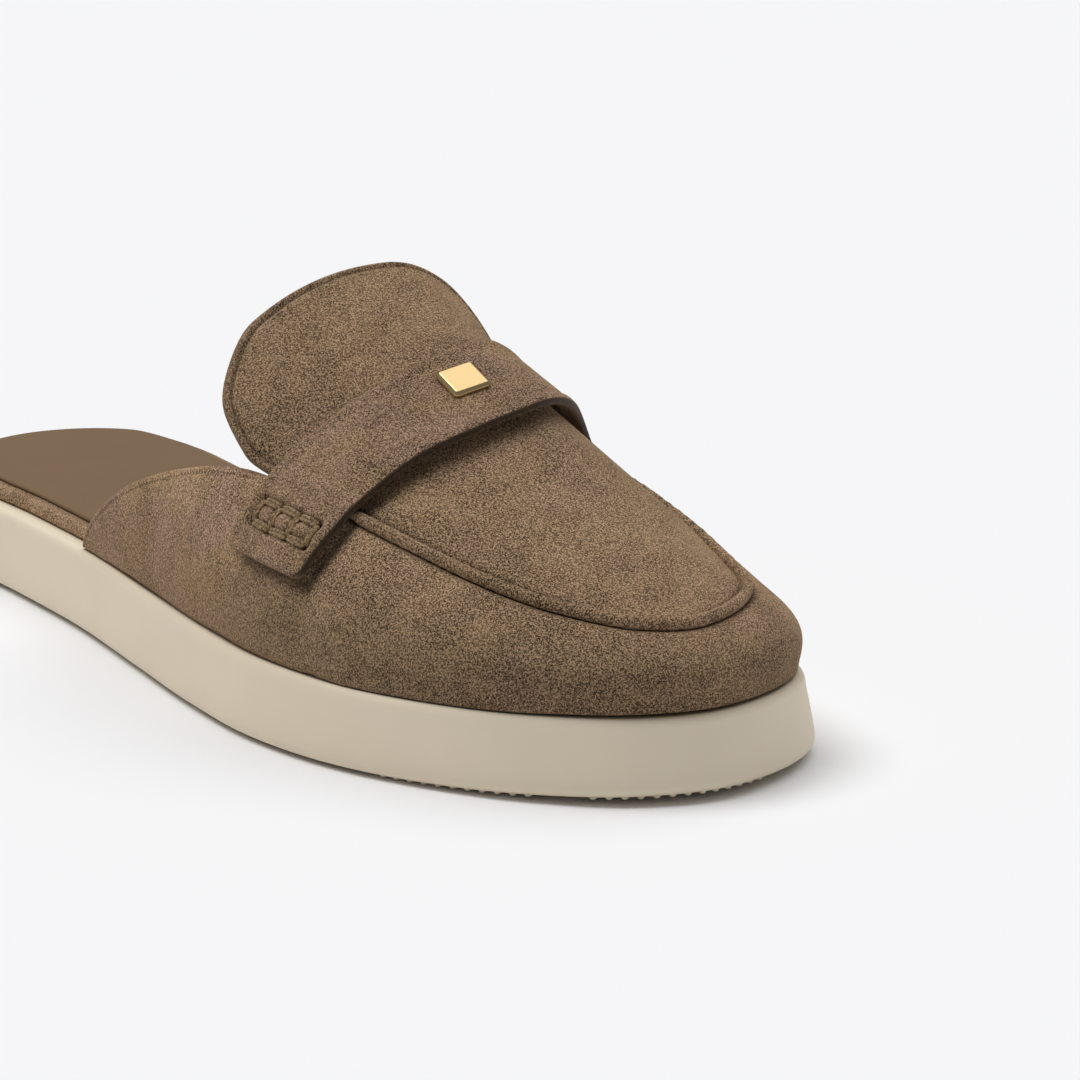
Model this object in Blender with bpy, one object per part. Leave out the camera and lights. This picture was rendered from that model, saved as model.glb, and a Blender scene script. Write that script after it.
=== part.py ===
# Backless suede loafer (a mule) for a right foot, standing empty on its sole.
# +X is the toe, +Y the medial side, +Z up. Sizes are in millimetres, the meshes in metres.
# Stations are measured along X from the back of the heel, before the model is centred.
import math

import bmesh
import bpy
import numpy as np

MM = 0.001

# Driving sizes
LENGTH = 247.0
SOLE_HEIGHT_HEEL = 14.6
SOLE_HEIGHT_TOE = 14.0
SOLE_FLARE = 2.2
SHOULDER = 0.9
TREAD_DEPTH = 0.6
TOE_SPRING = 1.2
TOE_SPRING_START = 195.0
TOP_SPRING_SHARE = 0.7
SEAT_GAP = 0.3
TOE_BLEND = 0.02
WALL = 2.0
TONGUE_WALL = 2.4
FOOTBED_HEIGHT = 2.3
QUARTER_END = 85.0
QUARTER_TOP_LENGTH = 72.0
QUARTER_POWER = 1.6
NOTCH_DEPTH = 0.13
NOTCH_STATIONS = (149.0, 170.0)
THROAT = 171.0
SEAM_RIDGE = 1.0
SEAM_RIDGE_START = 184.0
SEAM_RIDGE_RAMP = 6.0
SEAM_FOOT = 1.8
TOE_SLOPE = 0.3
TOE_CHORDS = (12.0, 42.0)
STRAP_THICKNESS = 2.2
STUD_SIZE = 7.4
STUD_THICKNESS = 1.1

# Sole outline at its widest level: station, lateral half width, medial half width
OUTLINE = (
    (3.6, 14.6, 14.4),
    (12.0, 24.2, 24.1),
    (29.8, 29.9, 28.4),
    (58.0, 31.4, 27.2),
    (88.5, 33.8, 26.0),
    (119.0, 38.4, 29.0),
    (148.0, 42.8, 35.6),
    (171.0, 44.6, 41.5),
    (193.0, 42.0, 43.9),
    (214.0, 34.3, 41.2),
    (231.5, 23.2, 33.8),
    (243.0, 10.2, 19.0),
)
HEEL_TIP = (0.0, 0.5)
TOE_TIP = (LENGTH, 4.2)

# Moc seam: station of the feather below it, lateral height, lateral inset, medial height, medial inset
SEAM = (
    (85.0, 42.4, 3.0, 42.0, 3.0),
    (115.0, 42.8, 5.0, 42.5, 6.0),
    (150.0, 43.3, 8.4, 42.5, 10.5),
    (175.0, 41.0, 11.0, 39.6, 12.5),
    (198.0, 36.8, 12.5, 35.4, 12.5),
    (220.0, 32.0, 11.0, 30.9, 9.8),
    (244.0, 28.4, 5.4, 28.4, 5.4),
)

# Ridge of the instep: station, sideways place, height, roundness of its flanks
RIDGE = (
    (145.0, 6.9, 67.2, 1.8),
    (165.0, 7.4, 60.2, 1.8),
    (183.0, 7.5, 52.4, 1.85),
    (200.0, 7.0, 45.0, 1.95),
    (218.0, 5.8, 37.0, 2.0),
    (238.0, 4.5, 28.8, 2.0),
)

# Fullness of the wall: station, power of its inward lean, outward swell
FULLNESS = (
    (85.0, 2.2, 0.0),
    (150.0, 2.2, 0.4),
    (200.0, 2.4, 0.8),
    (244.0, 3.6, 1.6),
)

# Tongue behind the throat: edge station, lateral edge, medial edge, edge height,
# ridge station, ridge place, ridge height
TONGUE = (
    (155.0, -32.2, 22.6, 44.0, 156.5, 6.9, 63.2),
    (151.5, -33.4, 23.4, 46.6, 152.5, 6.5, 64.6),
    (144.0, -33.2, 25.0, 53.5, 143.0, 6.0, 69.0),
    (138.0, -29.5, 24.0, 61.5, 134.0, 5.6, 73.0),
)

# Strap across the instep: share of the way over, rear station, front station
STRAP = (
    (0.0, 158.7, 182.3),
    (0.17, 160.3, 184.6),
    (0.3, 161.0, 184.2),
    (0.47, 161.8, 184.7),
    (0.6, 160.4, 182.2),
    (0.7, 158.8, 177.0),
    (0.8333, 156.0, 167.2),
    (1.0, 150.0, 171.5),
)
STRAP_END_HEIGHT = 30.2
STRAP_CLEARANCE = 0.5
STRAP_LIFT = 1.2
STRAP_COLUMNS = 6
STRAP_WALL_ROWS = 6
STRAP_TOP_ROWS = 21
STUD_LIFT_SHARE = 0.25

# Side wall of the cupsole, near the tread: inset from the outline, rise from the tread
SIDE_WALL_FOOT = ((1.3, 0.0), (0.4, 0.5), (0.0, 1.5))

# Side wall of the cupsole, near its top: inset from the outline, drop from the top
SIDE_WALL_HEAD = ((2.0, 1.5), (2.35, 0.5), (2.9, 0.0))

# Cross ribs of the tread: first and last station of each zone
TREAD_ZONES = ((12.0, 74.0), (142.0, 236.0))
TREAD_PITCH = 7.5
TREAD_WIDTH = 4.0
TREAD_INSET = 2.2
TREAD_BITE = 1.0

# Edges of the footbed and of the insole on it: inset from the outline, rise above the seat
FOOTBED_EDGE = ((5.6, 0.0), (6.0, 1.2), (7.4, FOOTBED_HEIGHT))
INSOLE_EDGE = ((8.4, 0.0), (8.4, 0.7), (9.0, 1.0))

# Tongue root under the strap: stations, share left free beside the seam
TONGUE_ROOT = (170.4, 164.5, 160.0)
TONGUE_TUCK = 0.04
TONGUE_ROUNDNESS = 2.2
TONGUE_STEPS = 4
TONGUE_CORNER_START = 0.8
TONGUE_CORNER_SHARE = 0.13

# Stud on the strap: station, place across, and the share of its size kept at each share of its height
STUD_STATION = 171.5
STUD_PLACE = 2.05
STUD_EDGE = ((0.0, 1.0), (0.45, 1.0), (1.0, 0.72))
STUD_SQUARENESS = 6
STUD_SIDES = 24

# Fineness of the meshes
RING_COUNT = 96
FRONT_COLUMNS = 21
QUARTER_COLUMNS = 14
QUARTER_COLUMN_STOP = 155.0
THROAT_COLUMN_GAP = 8.0
WALL_ROWS = (0.0, 0.14, 0.32, 0.5, 0.66, 0.8, 0.9, 0.965)
APRON_COLUMNS = 12
TONGUE_COLUMNS = 17


def table_rows(table, x):
    """Read all value columns of a station table at x, on a smooth curve through its rows."""
    rows = np.array(table, float)
    stations, values = rows[:, 0], rows[:, 1:]
    slopes = np.gradient(values, stations, axis=0)
    x = np.clip(np.asarray(x, float), stations[0], stations[-1])
    k = np.clip(np.searchsorted(stations, x) - 1, 0, len(stations) - 2)
    span = (stations[k + 1] - stations[k])[..., None]
    t = (x[..., None] - stations[k][..., None]) / span
    return (
        (2 * t**3 - 3 * t**2 + 1) * values[k]
        + (t**3 - 2 * t**2 + t) * span * slopes[k]
        + (3 * t**2 - 2 * t**3) * values[k + 1]
        + (t**3 - t**2) * span * slopes[k + 1]
    )


def closed_curve(points, steps):
    """Run a smooth closed curve through the points, with the given steps from one to the next."""
    points = np.array(points, float)
    ahead = np.roll(points, -1, axis=0)
    chord = np.linalg.norm(ahead - points, axis=1)[:, None]
    before = np.roll(chord, 1, axis=0)
    rate = (ahead - points) / chord
    tangent = (rate * before + np.roll(rate, 1, axis=0) * chord) / (before + chord)
    t = (np.arange(steps) / steps)[None, :, None]
    p0, p1 = points[:, None], ahead[:, None]
    m0, m1 = (tangent * chord)[:, None], (np.roll(tangent, -1, axis=0) * chord)[:, None]
    curve = (
        (2 * t**3 - 3 * t**2 + 1) * p0
        + (t**3 - 2 * t**2 + t) * m0
        + (3 * t**2 - 2 * t**3) * p1
        + (t**3 - t**2) * m1
    )
    return curve.reshape(-1, 2)


def outline_points():
    """List the outline's points from the heel along the lateral side, round the toe and back."""
    lateral = [(x, -y) for x, y, _ in OUTLINE]
    medial = [(x, y) for x, _, y in reversed(OUTLINE)]
    return [HEEL_TIP] + lateral + [TOE_TIP] + medial


class Rim:
    """The sole's outline as a curve that is read at a share of its length, 0 and 1 at the heel."""

    def __init__(self):
        dense = closed_curve(outline_points(), 40)
        dense = np.vstack([dense, dense[:1]])
        length = np.r_[0, np.cumsum(np.linalg.norm(np.diff(dense, axis=0), axis=1))]
        self.share = length / length[-1]
        self.points = dense
        run = np.gradient(dense, axis=0)
        run[0] = run[-1] = dense[1] - dense[-2]
        normal = np.c_[run[:, 1], -run[:, 0]]
        self.normals = normal / np.linalg.norm(normal, axis=1)[:, None]
        self.toe_share = float(self.share[np.argmax(dense[:, 0])])
        self.centre_y = (dense[:, 1].max() + dense[:, 1].min()) / 2

    def read(self, values, share):
        return np.stack([np.interp(share, self.share, values[:, k]) for k in range(2)], axis=-1)

    def at(self, share, inset=0.0):
        """Give the plan point at a share of the outline, moved inward by the inset."""
        normal = self.read(self.normals, share)
        normal = normal / np.linalg.norm(normal, axis=-1)[..., None]
        return self.read(self.points, share) - normal * np.asarray(inset)[..., None]

    def share_at(self, station, medial):
        """Find the share at which the feather line passes a station on one side."""
        share = np.linspace(0, self.toe_share, 800)
        if medial:
            share = np.linspace(1, self.toe_share, 800)
        feather = self.at(share, FEATHER_INSET)[:, 0]
        return np.interp(station, np.maximum.accumulate(feather), share)


FEATHER_INSET = SOLE_FLARE + SHOULDER
RIM = Rim()


def sole_top(x):
    drop = (SOLE_HEIGHT_HEEL - SOLE_HEIGHT_TOE) * np.asarray(x) / LENGTH
    return SOLE_HEIGHT_HEEL - drop + TOP_SPRING_SHARE * spring(x)


def spring(x):
    """Lift of the toe above the floor at a station."""
    run = np.clip((np.asarray(x, float) - TOE_SPRING_START) / (LENGTH - TOE_SPRING_START), 0, 1)
    return TOE_SPRING * run**2


def topline_share(x):
    """Share of the wall's full height that the quarter keeps at a station."""
    run = np.clip((QUARTER_END + QUARTER_TOP_LENGTH - np.asarray(x, float)) / QUARTER_TOP_LENGTH, 0, 1)
    start, end = NOTCH_STATIONS
    notch = np.sin(np.pi * np.clip((np.asarray(x, float) - start) / (end - start), 0, 1)) ** 2
    return (1 - run**QUARTER_POWER) ** (1 / QUARTER_POWER) - NOTCH_DEPTH * notch


def wall_point(share, v):
    """Outer face of the wall above the outline's share; v runs from the feather to the seam."""
    x = RIM.at(share, FEATHER_INSET)[..., 0]
    seam, full = table_rows(SEAM, x), table_rows(FULLNESS, x)
    base = sole_top(x) + SEAT_GAP
    medial = 0.5 + 0.5 * np.tanh((share - RIM.toe_share) / TOE_BLEND)
    top = seam[..., 0] + (seam[..., 2] - seam[..., 0]) * medial
    lean = seam[..., 1] + (seam[..., 3] - seam[..., 1]) * medial
    inset = lean * v ** full[..., 0] - full[..., 1] * np.sin(np.pi * np.clip(v, 0, 1)) ** 1.5
    plan = RIM.at(share, FEATHER_INSET + inset)
    height = base + (top - base) * v
    return np.concatenate([plan, height[..., None]], axis=-1)


def apron_point(lateral, medial, w):
    """Top of the vamp between two seam points; w runs from 0 to 1 across it."""
    chord = lateral + (medial - lateral) * w[..., None]
    middle_x = (lateral[..., 0] + medial[..., 0]) / 2
    ridge = table_rows(RIDGE, middle_x)
    peak = (ridge[..., 0] - lateral[..., 1]) / np.maximum(medial[..., 1] - lateral[..., 1], 1e-6)
    peak = np.clip(peak, 0.3, 0.7)
    flank = np.where(w < peak, (peak - w) / peak, (w - peak) / (1 - peak))
    base = lateral[..., 2] + (medial[..., 2] - lateral[..., 2]) * peak
    rise = np.maximum(ridge[..., 1] - base, 0) * (1 - flank ** ridge[..., 2])
    chord[..., 2] += rise
    return chord


def section_point(x, c):
    """Outer face of the upper at a station; c is 0 and 4 at the feathers, 1 and 3 at the seams."""
    x, c = np.broadcast_arrays(np.asarray(x, float), np.asarray(c, float))
    lateral_share, medial_share = RIM.share_at(x, False), RIM.share_at(x, True)
    one = np.ones_like(x)
    across = np.clip((c - 1) / 2, 0, 1)
    top = apron_point(wall_point(lateral_share, one), wall_point(medial_share, one), across)
    near = wall_point(lateral_share, np.clip(c, 0, 1))
    far = wall_point(medial_share, np.clip(4 - c, 0, 1))
    point = np.where((c < 1)[..., None], near, top)
    return np.where((c > 3)[..., None], far, point)


# Build the pieces
def ring_shares(count):
    """Shares round the whole outline; place k and place count - k lie opposite each other."""
    lateral = np.linspace(0, RIM.toe_share, count // 2 + 1)
    medial = np.linspace(RIM.toe_share, 1, count // 2 + 1)
    return np.r_[lateral, medial[1:-1]]


def material(name, colour, roughness, metallic=0.0):
    made = bpy.data.materials.new(name)
    made.use_nodes = True
    shader = made.node_tree.nodes["Principled BSDF"]
    shader.inputs["Base Color"].default_value = (*colour, 1.0)
    shader.inputs["Roughness"].default_value = roughness
    shader.inputs["Metallic"].default_value = metallic
    return made


def add_piece(name, points, faces, finish):
    """Add one named mesh from points in millimetres, centred on the outline's box."""
    centre = np.array([LENGTH / 2, RIM.centre_y, 0.0])
    mesh = bpy.data.meshes.new(name)
    mesh.from_pydata(((np.asarray(points) - centre) * MM).tolist(), [], faces)
    mesh.materials.append(finish)
    piece = bpy.data.objects.new(name, mesh)
    bpy.context.scene.collection.objects.link(piece)
    face_outward(mesh)
    mesh.shade_smooth()
    mesh.set_sharp_from_angle(angle=math.radians(35))
    return piece


def face_outward(mesh):
    work = bmesh.new()
    work.from_mesh(mesh)
    bmesh.ops.recalc_face_normals(work, faces=work.faces)
    work.to_mesh(mesh)
    work.free()


def grid_faces(rows, columns, wrap=False):
    """Quads between neighbouring rows of a grid, closed round the columns when wrap is set."""
    faces = []
    for r in range(rows - 1):
        for c in range(columns if wrap else columns - 1):
            d = (c + 1) % columns
            faces.append((r * columns + c, r * columns + d, (r + 1) * columns + d, (r + 1) * columns + c))
    return faces


def ladder_faces(start, count):
    """Quads across a ring whose places k and count - k lie opposite each other."""
    faces = [(start, start + 1, start + count - 1)]
    for k in range(1, count // 2 - 1):
        faces.append((start + k, start + k + 1, start + count - k - 1, start + count - k))
    half = count // 2
    faces.append((start + half - 1, start + half, start + half + 1))
    return faces


def stacked_solid(name, levels, finish):
    """Close a solid from rings of equal count, the first at the bottom and the last at the top."""
    count = len(levels[0])
    faces = grid_faces(len(levels), count, wrap=True)
    faces += ladder_faces(0, count) + ladder_faces((len(levels) - 1) * count, count)
    return add_piece(name, np.vstack(levels), faces, finish)


def level_ring(inset, height):
    """One ring of a stacked solid: the height is a function of the station."""
    plan = RIM.at(ring_shares(RING_COUNT), inset)
    return np.c_[plan, height(plan[:, 0])]


def build_sole(finish):
    """Cupsole with a flared side wall, a soft shoulder and cross ribs under heel and forefoot."""
    levels = []
    for inset, rise in SIDE_WALL_FOOT:
        levels.append(level_ring(inset, lambda x: TREAD_DEPTH + rise + spring(x)))
    for inset, drop in SIDE_WALL_HEAD:
        levels.append(level_ring(inset, lambda x: sole_top(x) - drop))
    sole = stacked_solid("sole", levels, finish)
    for start, end in TREAD_ZONES:
        for x in np.arange(start, end, TREAD_PITCH):
            fuse(sole, tread_rib(float(x)))
    return sole


def tread_rib(x):
    """One cross rib as a block that reaches up into the sole."""
    corners = []
    for station, medial in ((x, False), (x + TREAD_WIDTH, False), (x + TREAD_WIDTH, True), (x, True)):
        corners.append(RIM.at(np.array(RIM.share_at(station, medial)), TREAD_INSET))
    points = []
    for z in (spring(x), TREAD_DEPTH + TREAD_BITE + spring(x)):
        points += [(corner[0], corner[1], z) for corner in corners]
    faces = [(0, 3, 2, 1), (4, 5, 6, 7), (0, 1, 5, 4), (1, 2, 6, 5), (2, 3, 7, 6), (3, 0, 4, 7)]
    return points, faces


def fuse(body, block):
    """Join a block to a body with an exact union, leaving one closed mesh."""
    cutter = add_piece("rib", block[0], block[1], body.data.materials[0])
    union = body.modifiers.new("union", "BOOLEAN")
    union.operation = "UNION"
    union.object = cutter
    graph = bpy.context.evaluated_depsgraph_get()
    joined = bpy.data.meshes.new_from_object(body.evaluated_get(graph))
    body.modifiers.clear()
    body.data = joined
    bpy.data.objects.remove(cutter)


def build_footbed(finish):
    """Suede wrapped footbed whose edge slopes in behind the quarters."""
    levels = []
    for inset, rise in FOOTBED_EDGE:
        levels.append(level_ring(inset, lambda x: sole_top(x) + SEAT_GAP + rise))
    return stacked_solid("footbed", levels, finish)


def build_insole(finish):
    """Leather sock on the footbed, a little smaller than it."""
    base = SEAT_GAP + FOOTBED_HEIGHT + SEAT_GAP
    levels = []
    for inset, rise in INSOLE_EDGE:
        levels.append(level_ring(inset, lambda x: sole_top(x) + base + rise))
    return stacked_solid("insole", levels, finish)


def upper_columns():
    """Shares of the upper's columns from the lateral quarter's end round the toe to the medial one."""
    run = np.arange(1, QUARTER_COLUMNS + 1) / QUARTER_COLUMNS
    rear = QUARTER_END + (QUARTER_COLUMN_STOP - QUARTER_END) * run**2
    stations = np.r_[rear, THROAT - THROAT_COLUMN_GAP, THROAT]
    lateral, medial = RIM.share_at(stations, False), RIM.share_at(stations, True)
    front = np.linspace(0, 1, FRONT_COLUMNS + 1)[1:]
    lateral = np.r_[lateral, lateral[-1] + (RIM.toe_share - lateral[-1]) * front]
    medial = np.r_[medial, medial[-1] + (RIM.toe_share - medial[-1]) * front[:-1]]
    return np.r_[lateral, medial[::-1]], len(stations) - 1


def seam_ridge(x):
    """Height of the raised moc seam at a station; it starts in front of the strap."""
    return SEAM_RIDGE * np.clip((x - SEAM_RIDGE_START) / SEAM_RIDGE_RAMP, 0, 1)


def seam_feet(shares, seam):
    """Inner foot of the raised seam, on the apron just inside each seam point."""
    half = len(seam) // 2
    lateral, medial = seam[: half + 1], seam[::-1][: half + 1]
    across = np.maximum(np.linalg.norm(medial - lateral, axis=1), 1.0)
    edge = np.minimum(SEAM_FOOT / across, 0.5)
    near = apron_point(lateral, medial, edge)[:, 2] - lateral[:, 2]
    far = apron_point(lateral, medial, 1 - edge)[:, 2] - medial[:, 2]
    rise = np.r_[near, far[:half][::-1]]
    chord = np.r_[across, across[:half][::-1]]
    side = np.clip((chord - TOE_CHORDS[0]) / (TOE_CHORDS[1] - TOE_CHORDS[0]), 0, 1)
    rise = rise * side + SEAM_FOOT * TOE_SLOPE * (1 - side)
    inward = RIM.at(shares, SEAM_FOOT) - RIM.at(shares, 0.0)
    return seam + np.c_[inward, rise]


def build_upper(finish):
    """Vamp and quarters as one wall, open at the throat, behind and underneath."""
    shares, throat = upper_columns()
    count = len(shares)
    feather_x = RIM.at(shares, FEATHER_INSET)[:, 0]
    reach = topline_share(feather_x)
    rows = [wall_point(shares, v * reach) for v in WALL_ROWS]
    crest = wall_point(shares, reach)
    crest[:, 2] += seam_ridge(feather_x)
    rows.append(crest)
    points = list(np.vstack(rows))
    faces = grid_faces(len(rows), count)
    crest_start = (len(rows) - 1) * count
    half = count // 2
    seam = crest - np.outer(seam_ridge(feather_x), (0, 0, 1))
    inner = seam_feet(shares, seam)
    foot_start = len(points) - throat
    points += list(inner[throat : count - throat])
    previous = None
    w = np.linspace(0, 1, APRON_COLUMNS)
    for i in range(throat, half - 1):
        mate = count - 1 - i
        across = apron_point(np.tile(inner[i], (len(w), 1)), np.tile(inner[mate], (len(w), 1)), w)
        row = [foot_start + i] + list(range(len(points), len(points) + len(w) - 2)) + [foot_start + mate]
        points += list(across[1:-1])
        if previous:
            faces += [(a, b, d, c) for a, b, c, d in zip(previous, previous[1:], row, row[1:])]
        previous = row
    faces.append(tuple(previous) + tuple(foot_start + i for i in (half + 1, half, half - 1)))
    for i in range(throat, count - 1 - throat):
        faces.append((crest_start + i, crest_start + i + 1, foot_start + i + 1, foot_start + i))
    upper = add_piece("upper", points, faces, finish)
    point_normals_up(upper.data)
    thicken(upper, WALL)
    return upper


def point_normals_up(mesh):
    """Turn an open shell's faces so that its highest face looks up."""
    top = max(mesh.polygons, key=lambda face: face.center.z)
    if top.normal.z < 0:
        mesh.flip_normals()


def thicken(piece, wall):
    """Give an open shell its wall, grown inward from the outer face."""
    solid = piece.modifiers.new("wall", "SOLIDIFY")
    solid.thickness = wall * MM
    solid.offset = -1.0
    solid.use_even_offset = False
    solid.use_rim = True


def tongue_row(row, w):
    """One arched row across the tongue; w runs from the lateral to the medial edge."""
    edge_x, low, high, edge_z, ridge_x, ridge_y, ridge_z = row
    y = low + (high - low) * w
    flank = np.where(y < ridge_y, (ridge_y - y) / (ridge_y - low), (y - ridge_y) / (high - ridge_y))
    x = edge_x + (ridge_x - edge_x) * (1 - flank**2)
    z = edge_z + (ridge_z - edge_z) * (1 - flank**TONGUE_ROUNDNESS)
    return np.c_[x, y, z]


def open_rows(rows, steps):
    """Blend key rows into a smooth sheet with the given steps from one key row to the next."""
    rows = np.array(rows)
    run = np.gradient(rows, axis=0)
    sheet = []
    for k in range(len(rows) - 1):
        for t in np.arange(steps) / steps:
            sheet.append(
                (2 * t**3 - 3 * t**2 + 1) * rows[k]
                + (t**3 - 2 * t**2 + t) * run[k]
                + (3 * t**2 - 2 * t**3) * rows[k + 1]
                + (t**3 - t**2) * run[k + 1]
            )
    sheet.append(rows[-1])
    return np.array(sheet)


def tongue_sheet():
    w = np.linspace(0, 1, TONGUE_COLUMNS)
    rows = [section_point(x, 1 + 2 * (TONGUE_TUCK + (1 - 2 * TONGUE_TUCK) * w)) for x in TONGUE_ROOT]
    rows += [tongue_row(row, w) for row in TONGUE]
    return rounded_corners(open_rows(rows, TONGUE_STEPS), w)


def rounded_corners(sheet, w):
    """Draw the ends of the last rows in along a quarter circle."""
    place = np.arange(len(sheet)) / (len(sheet) - 1)
    run = np.clip((place - TONGUE_CORNER_START) / (1 - TONGUE_CORNER_START), 0, 1)
    rounded = []
    for row, tuck in zip(sheet, TONGUE_CORNER_SHARE * (1 - np.sqrt(1 - run**2))):
        share = tuck + (1 - 2 * tuck) * w
        rounded.append(np.stack([np.interp(share, w, row[:, k]) for k in range(3)], axis=-1))
    return np.array(rounded)


def build_tongue(finish):
    """Wide tongue that carries the apron on behind the throat and flares up."""
    sheet = tongue_sheet()
    faces = grid_faces(sheet.shape[0], sheet.shape[1])
    tongue = add_piece("tongue", sheet.reshape(-1, 3), faces, finish)
    point_normals_up(tongue.data)
    thicken(tongue, TONGUE_WALL)
    return tongue


def section_normal(x, c):
    """Outward direction of the upper's face at a station."""
    along = section_point(x + 0.5, c) - section_point(x - 0.5, c)
    across = section_point(x, c + 0.02) - section_point(x, c - 0.02)
    normal = np.cross(along, across)
    return normal / np.linalg.norm(normal, axis=-1)[..., None]


def strap_places():
    """Places across the upper that the strap passes, from its lateral to its medial end."""
    heights = np.linspace(0, 1, 60)
    middle = (STRAP[0][1] + STRAP[0][2]) / 2
    lateral = np.interp(STRAP_END_HEIGHT, section_point(middle, heights)[:, 2], heights)
    medial = np.interp(STRAP_END_HEIGHT, section_point(middle, 4 - heights)[:, 2], heights)
    wall = np.linspace(0, 1, STRAP_WALL_ROWS)
    near, far = lateral + (1 - lateral) * wall, 3 + (1 - medial) * wall
    return np.r_[near[:-1], np.linspace(1, 3, STRAP_TOP_ROWS), far[1:]]


def strap_sheet(offset):
    """Strap surface at an offset from the upper, a row for each place along it."""
    c = strap_places()
    along = np.linspace(0, 1, len(c))
    edges = table_rows(STRAP, along)
    a = np.linspace(0, 1, STRAP_COLUMNS)[None, :]
    x = edges[:, :1] + (edges[:, 1:] - edges[:, :1]) * a
    c = np.repeat(c[:, None], STRAP_COLUMNS, axis=1)
    lift = STRAP_LIFT * a**2 * np.sin(np.pi * along[:, None]) ** 2
    return section_point(x, c) + section_normal(x, c) * (offset + lift)[..., None]


def build_strap(finish):
    """Saddle strap, broad at its ends and narrower over the instep."""
    inner, outer = strap_sheet(STRAP_CLEARANCE), strap_sheet(STRAP_CLEARANCE + STRAP_THICKNESS)
    ring = np.concatenate([inner, outer[:, ::-1]], axis=1)
    rows, columns = ring.shape[:2]
    faces = grid_faces(rows, columns, wrap=True)
    for start in (0, (rows - 1) * columns):
        for k in range(STRAP_COLUMNS - 1):
            faces.append((start + k, start + k + 1, start + columns - k - 2, start + columns - k - 1))
    return add_piece("strap", ring.reshape(-1, 3), faces, finish)


def build_stud(finish):
    """Plain square stud with a chamfered edge, seated flat on the strap."""
    seat = STRAP_CLEARANCE + STRAP_THICKNESS + SEAT_GAP
    x, c = np.array(STUD_STATION), np.array(STUD_PLACE)
    normal = section_normal(x, c)
    centre = section_point(x, c) + normal * (seat + STRAP_LIFT * STUD_LIFT_SHARE)
    side = section_point(x, c + 0.1) - section_point(x, c - 0.1)
    side = side / np.linalg.norm(side)
    front = np.cross(side, normal)
    half = STUD_SIZE / 2
    points = []
    for height, share in STUD_EDGE:
        for k in range(STUD_SIDES):
            angle = 2 * np.pi * (k + 0.5) / STUD_SIDES
            across, ahead = np.cos(angle), np.sin(angle)
            corner = (abs(across) ** STUD_SQUARENESS + abs(ahead) ** STUD_SQUARENESS) ** (1 / STUD_SQUARENESS)
            reach = share * half / corner
            points.append(centre + normal * STUD_THICKNESS * height + reach * (across * side + ahead * front))
    last = (len(STUD_EDGE) - 1) * STUD_SIDES
    faces = grid_faces(len(STUD_EDGE), STUD_SIDES, wrap=True)
    faces += [tuple(range(STUD_SIDES)), tuple(range(last, last + STUD_SIDES))]
    return add_piece("stud", points, faces, finish)


def main():
    for old in list(bpy.data.objects):
        bpy.data.objects.remove(old)
    suede = material("suede", (0.165, 0.118, 0.078), 0.92)
    leather = material("insole leather", (0.145, 0.108, 0.072), 0.55)
    rubber = material("rubber", (0.52, 0.46, 0.36), 0.6)
    gold = material("gold", (0.83, 0.62, 0.28), 0.25, 1.0)
    build_sole(rubber)
    build_footbed(suede)
    build_insole(leather)
    build_upper(suede)
    build_tongue(suede)
    build_strap(suede)
    build_stud(gold)


main()
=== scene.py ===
import math

import bmesh
import bpy
import numpy as np
from mathutils import Matrix, Vector


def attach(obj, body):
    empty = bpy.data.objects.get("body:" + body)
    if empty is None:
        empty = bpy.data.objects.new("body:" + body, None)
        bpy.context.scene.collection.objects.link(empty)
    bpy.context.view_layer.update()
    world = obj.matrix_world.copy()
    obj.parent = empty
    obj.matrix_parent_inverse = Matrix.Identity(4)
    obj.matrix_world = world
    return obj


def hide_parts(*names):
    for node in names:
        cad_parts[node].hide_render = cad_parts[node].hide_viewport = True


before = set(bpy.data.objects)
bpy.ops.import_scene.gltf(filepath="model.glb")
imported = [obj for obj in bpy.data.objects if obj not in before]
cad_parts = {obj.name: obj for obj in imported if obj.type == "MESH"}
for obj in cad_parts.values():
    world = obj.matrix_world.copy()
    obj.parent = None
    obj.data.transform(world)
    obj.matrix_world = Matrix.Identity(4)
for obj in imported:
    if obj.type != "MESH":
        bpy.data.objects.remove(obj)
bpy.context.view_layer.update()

MM = 0.001

# Sizes of the shoe in millimetres; stations run along X from the back of the heel
LENGTH = 247.0
SOLE_HEIGHT_HEEL = 14.6
SOLE_HEIGHT_TOE = 14.0
FEATHER_INSET = 3.1
TREAD_DEPTH = 0.6
TOE_SPRING = 1.2
TOE_SPRING_START = 195.0
TOP_SPRING_SHARE = 0.7
SEAT_GAP = 0.3
TOE_BLEND = 0.02
OUTLINE_STEPS = 40
WALL = 2.0
QUARTER_END = 85.0
QUARTER_TOP_LENGTH = 72.0
QUARTER_POWER = 1.6
THROAT = 171.0

# Sole outline at its widest level: station, lateral half width, medial half width
OUTLINE = (
    (3.6, 14.6, 14.4),
    (12.0, 24.2, 24.1),
    (29.8, 29.9, 28.4),
    (58.0, 31.4, 27.2),
    (88.5, 33.8, 26.0),
    (119.0, 38.4, 29.0),
    (148.0, 42.8, 35.6),
    (171.0, 44.6, 41.5),
    (193.0, 42.0, 43.9),
    (214.0, 34.3, 41.2),
    (231.5, 23.2, 33.8),
    (243.0, 10.2, 19.0),
)
HEEL_TIP = (0.0, 0.5)
TOE_TIP = (LENGTH, 4.2)

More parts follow.
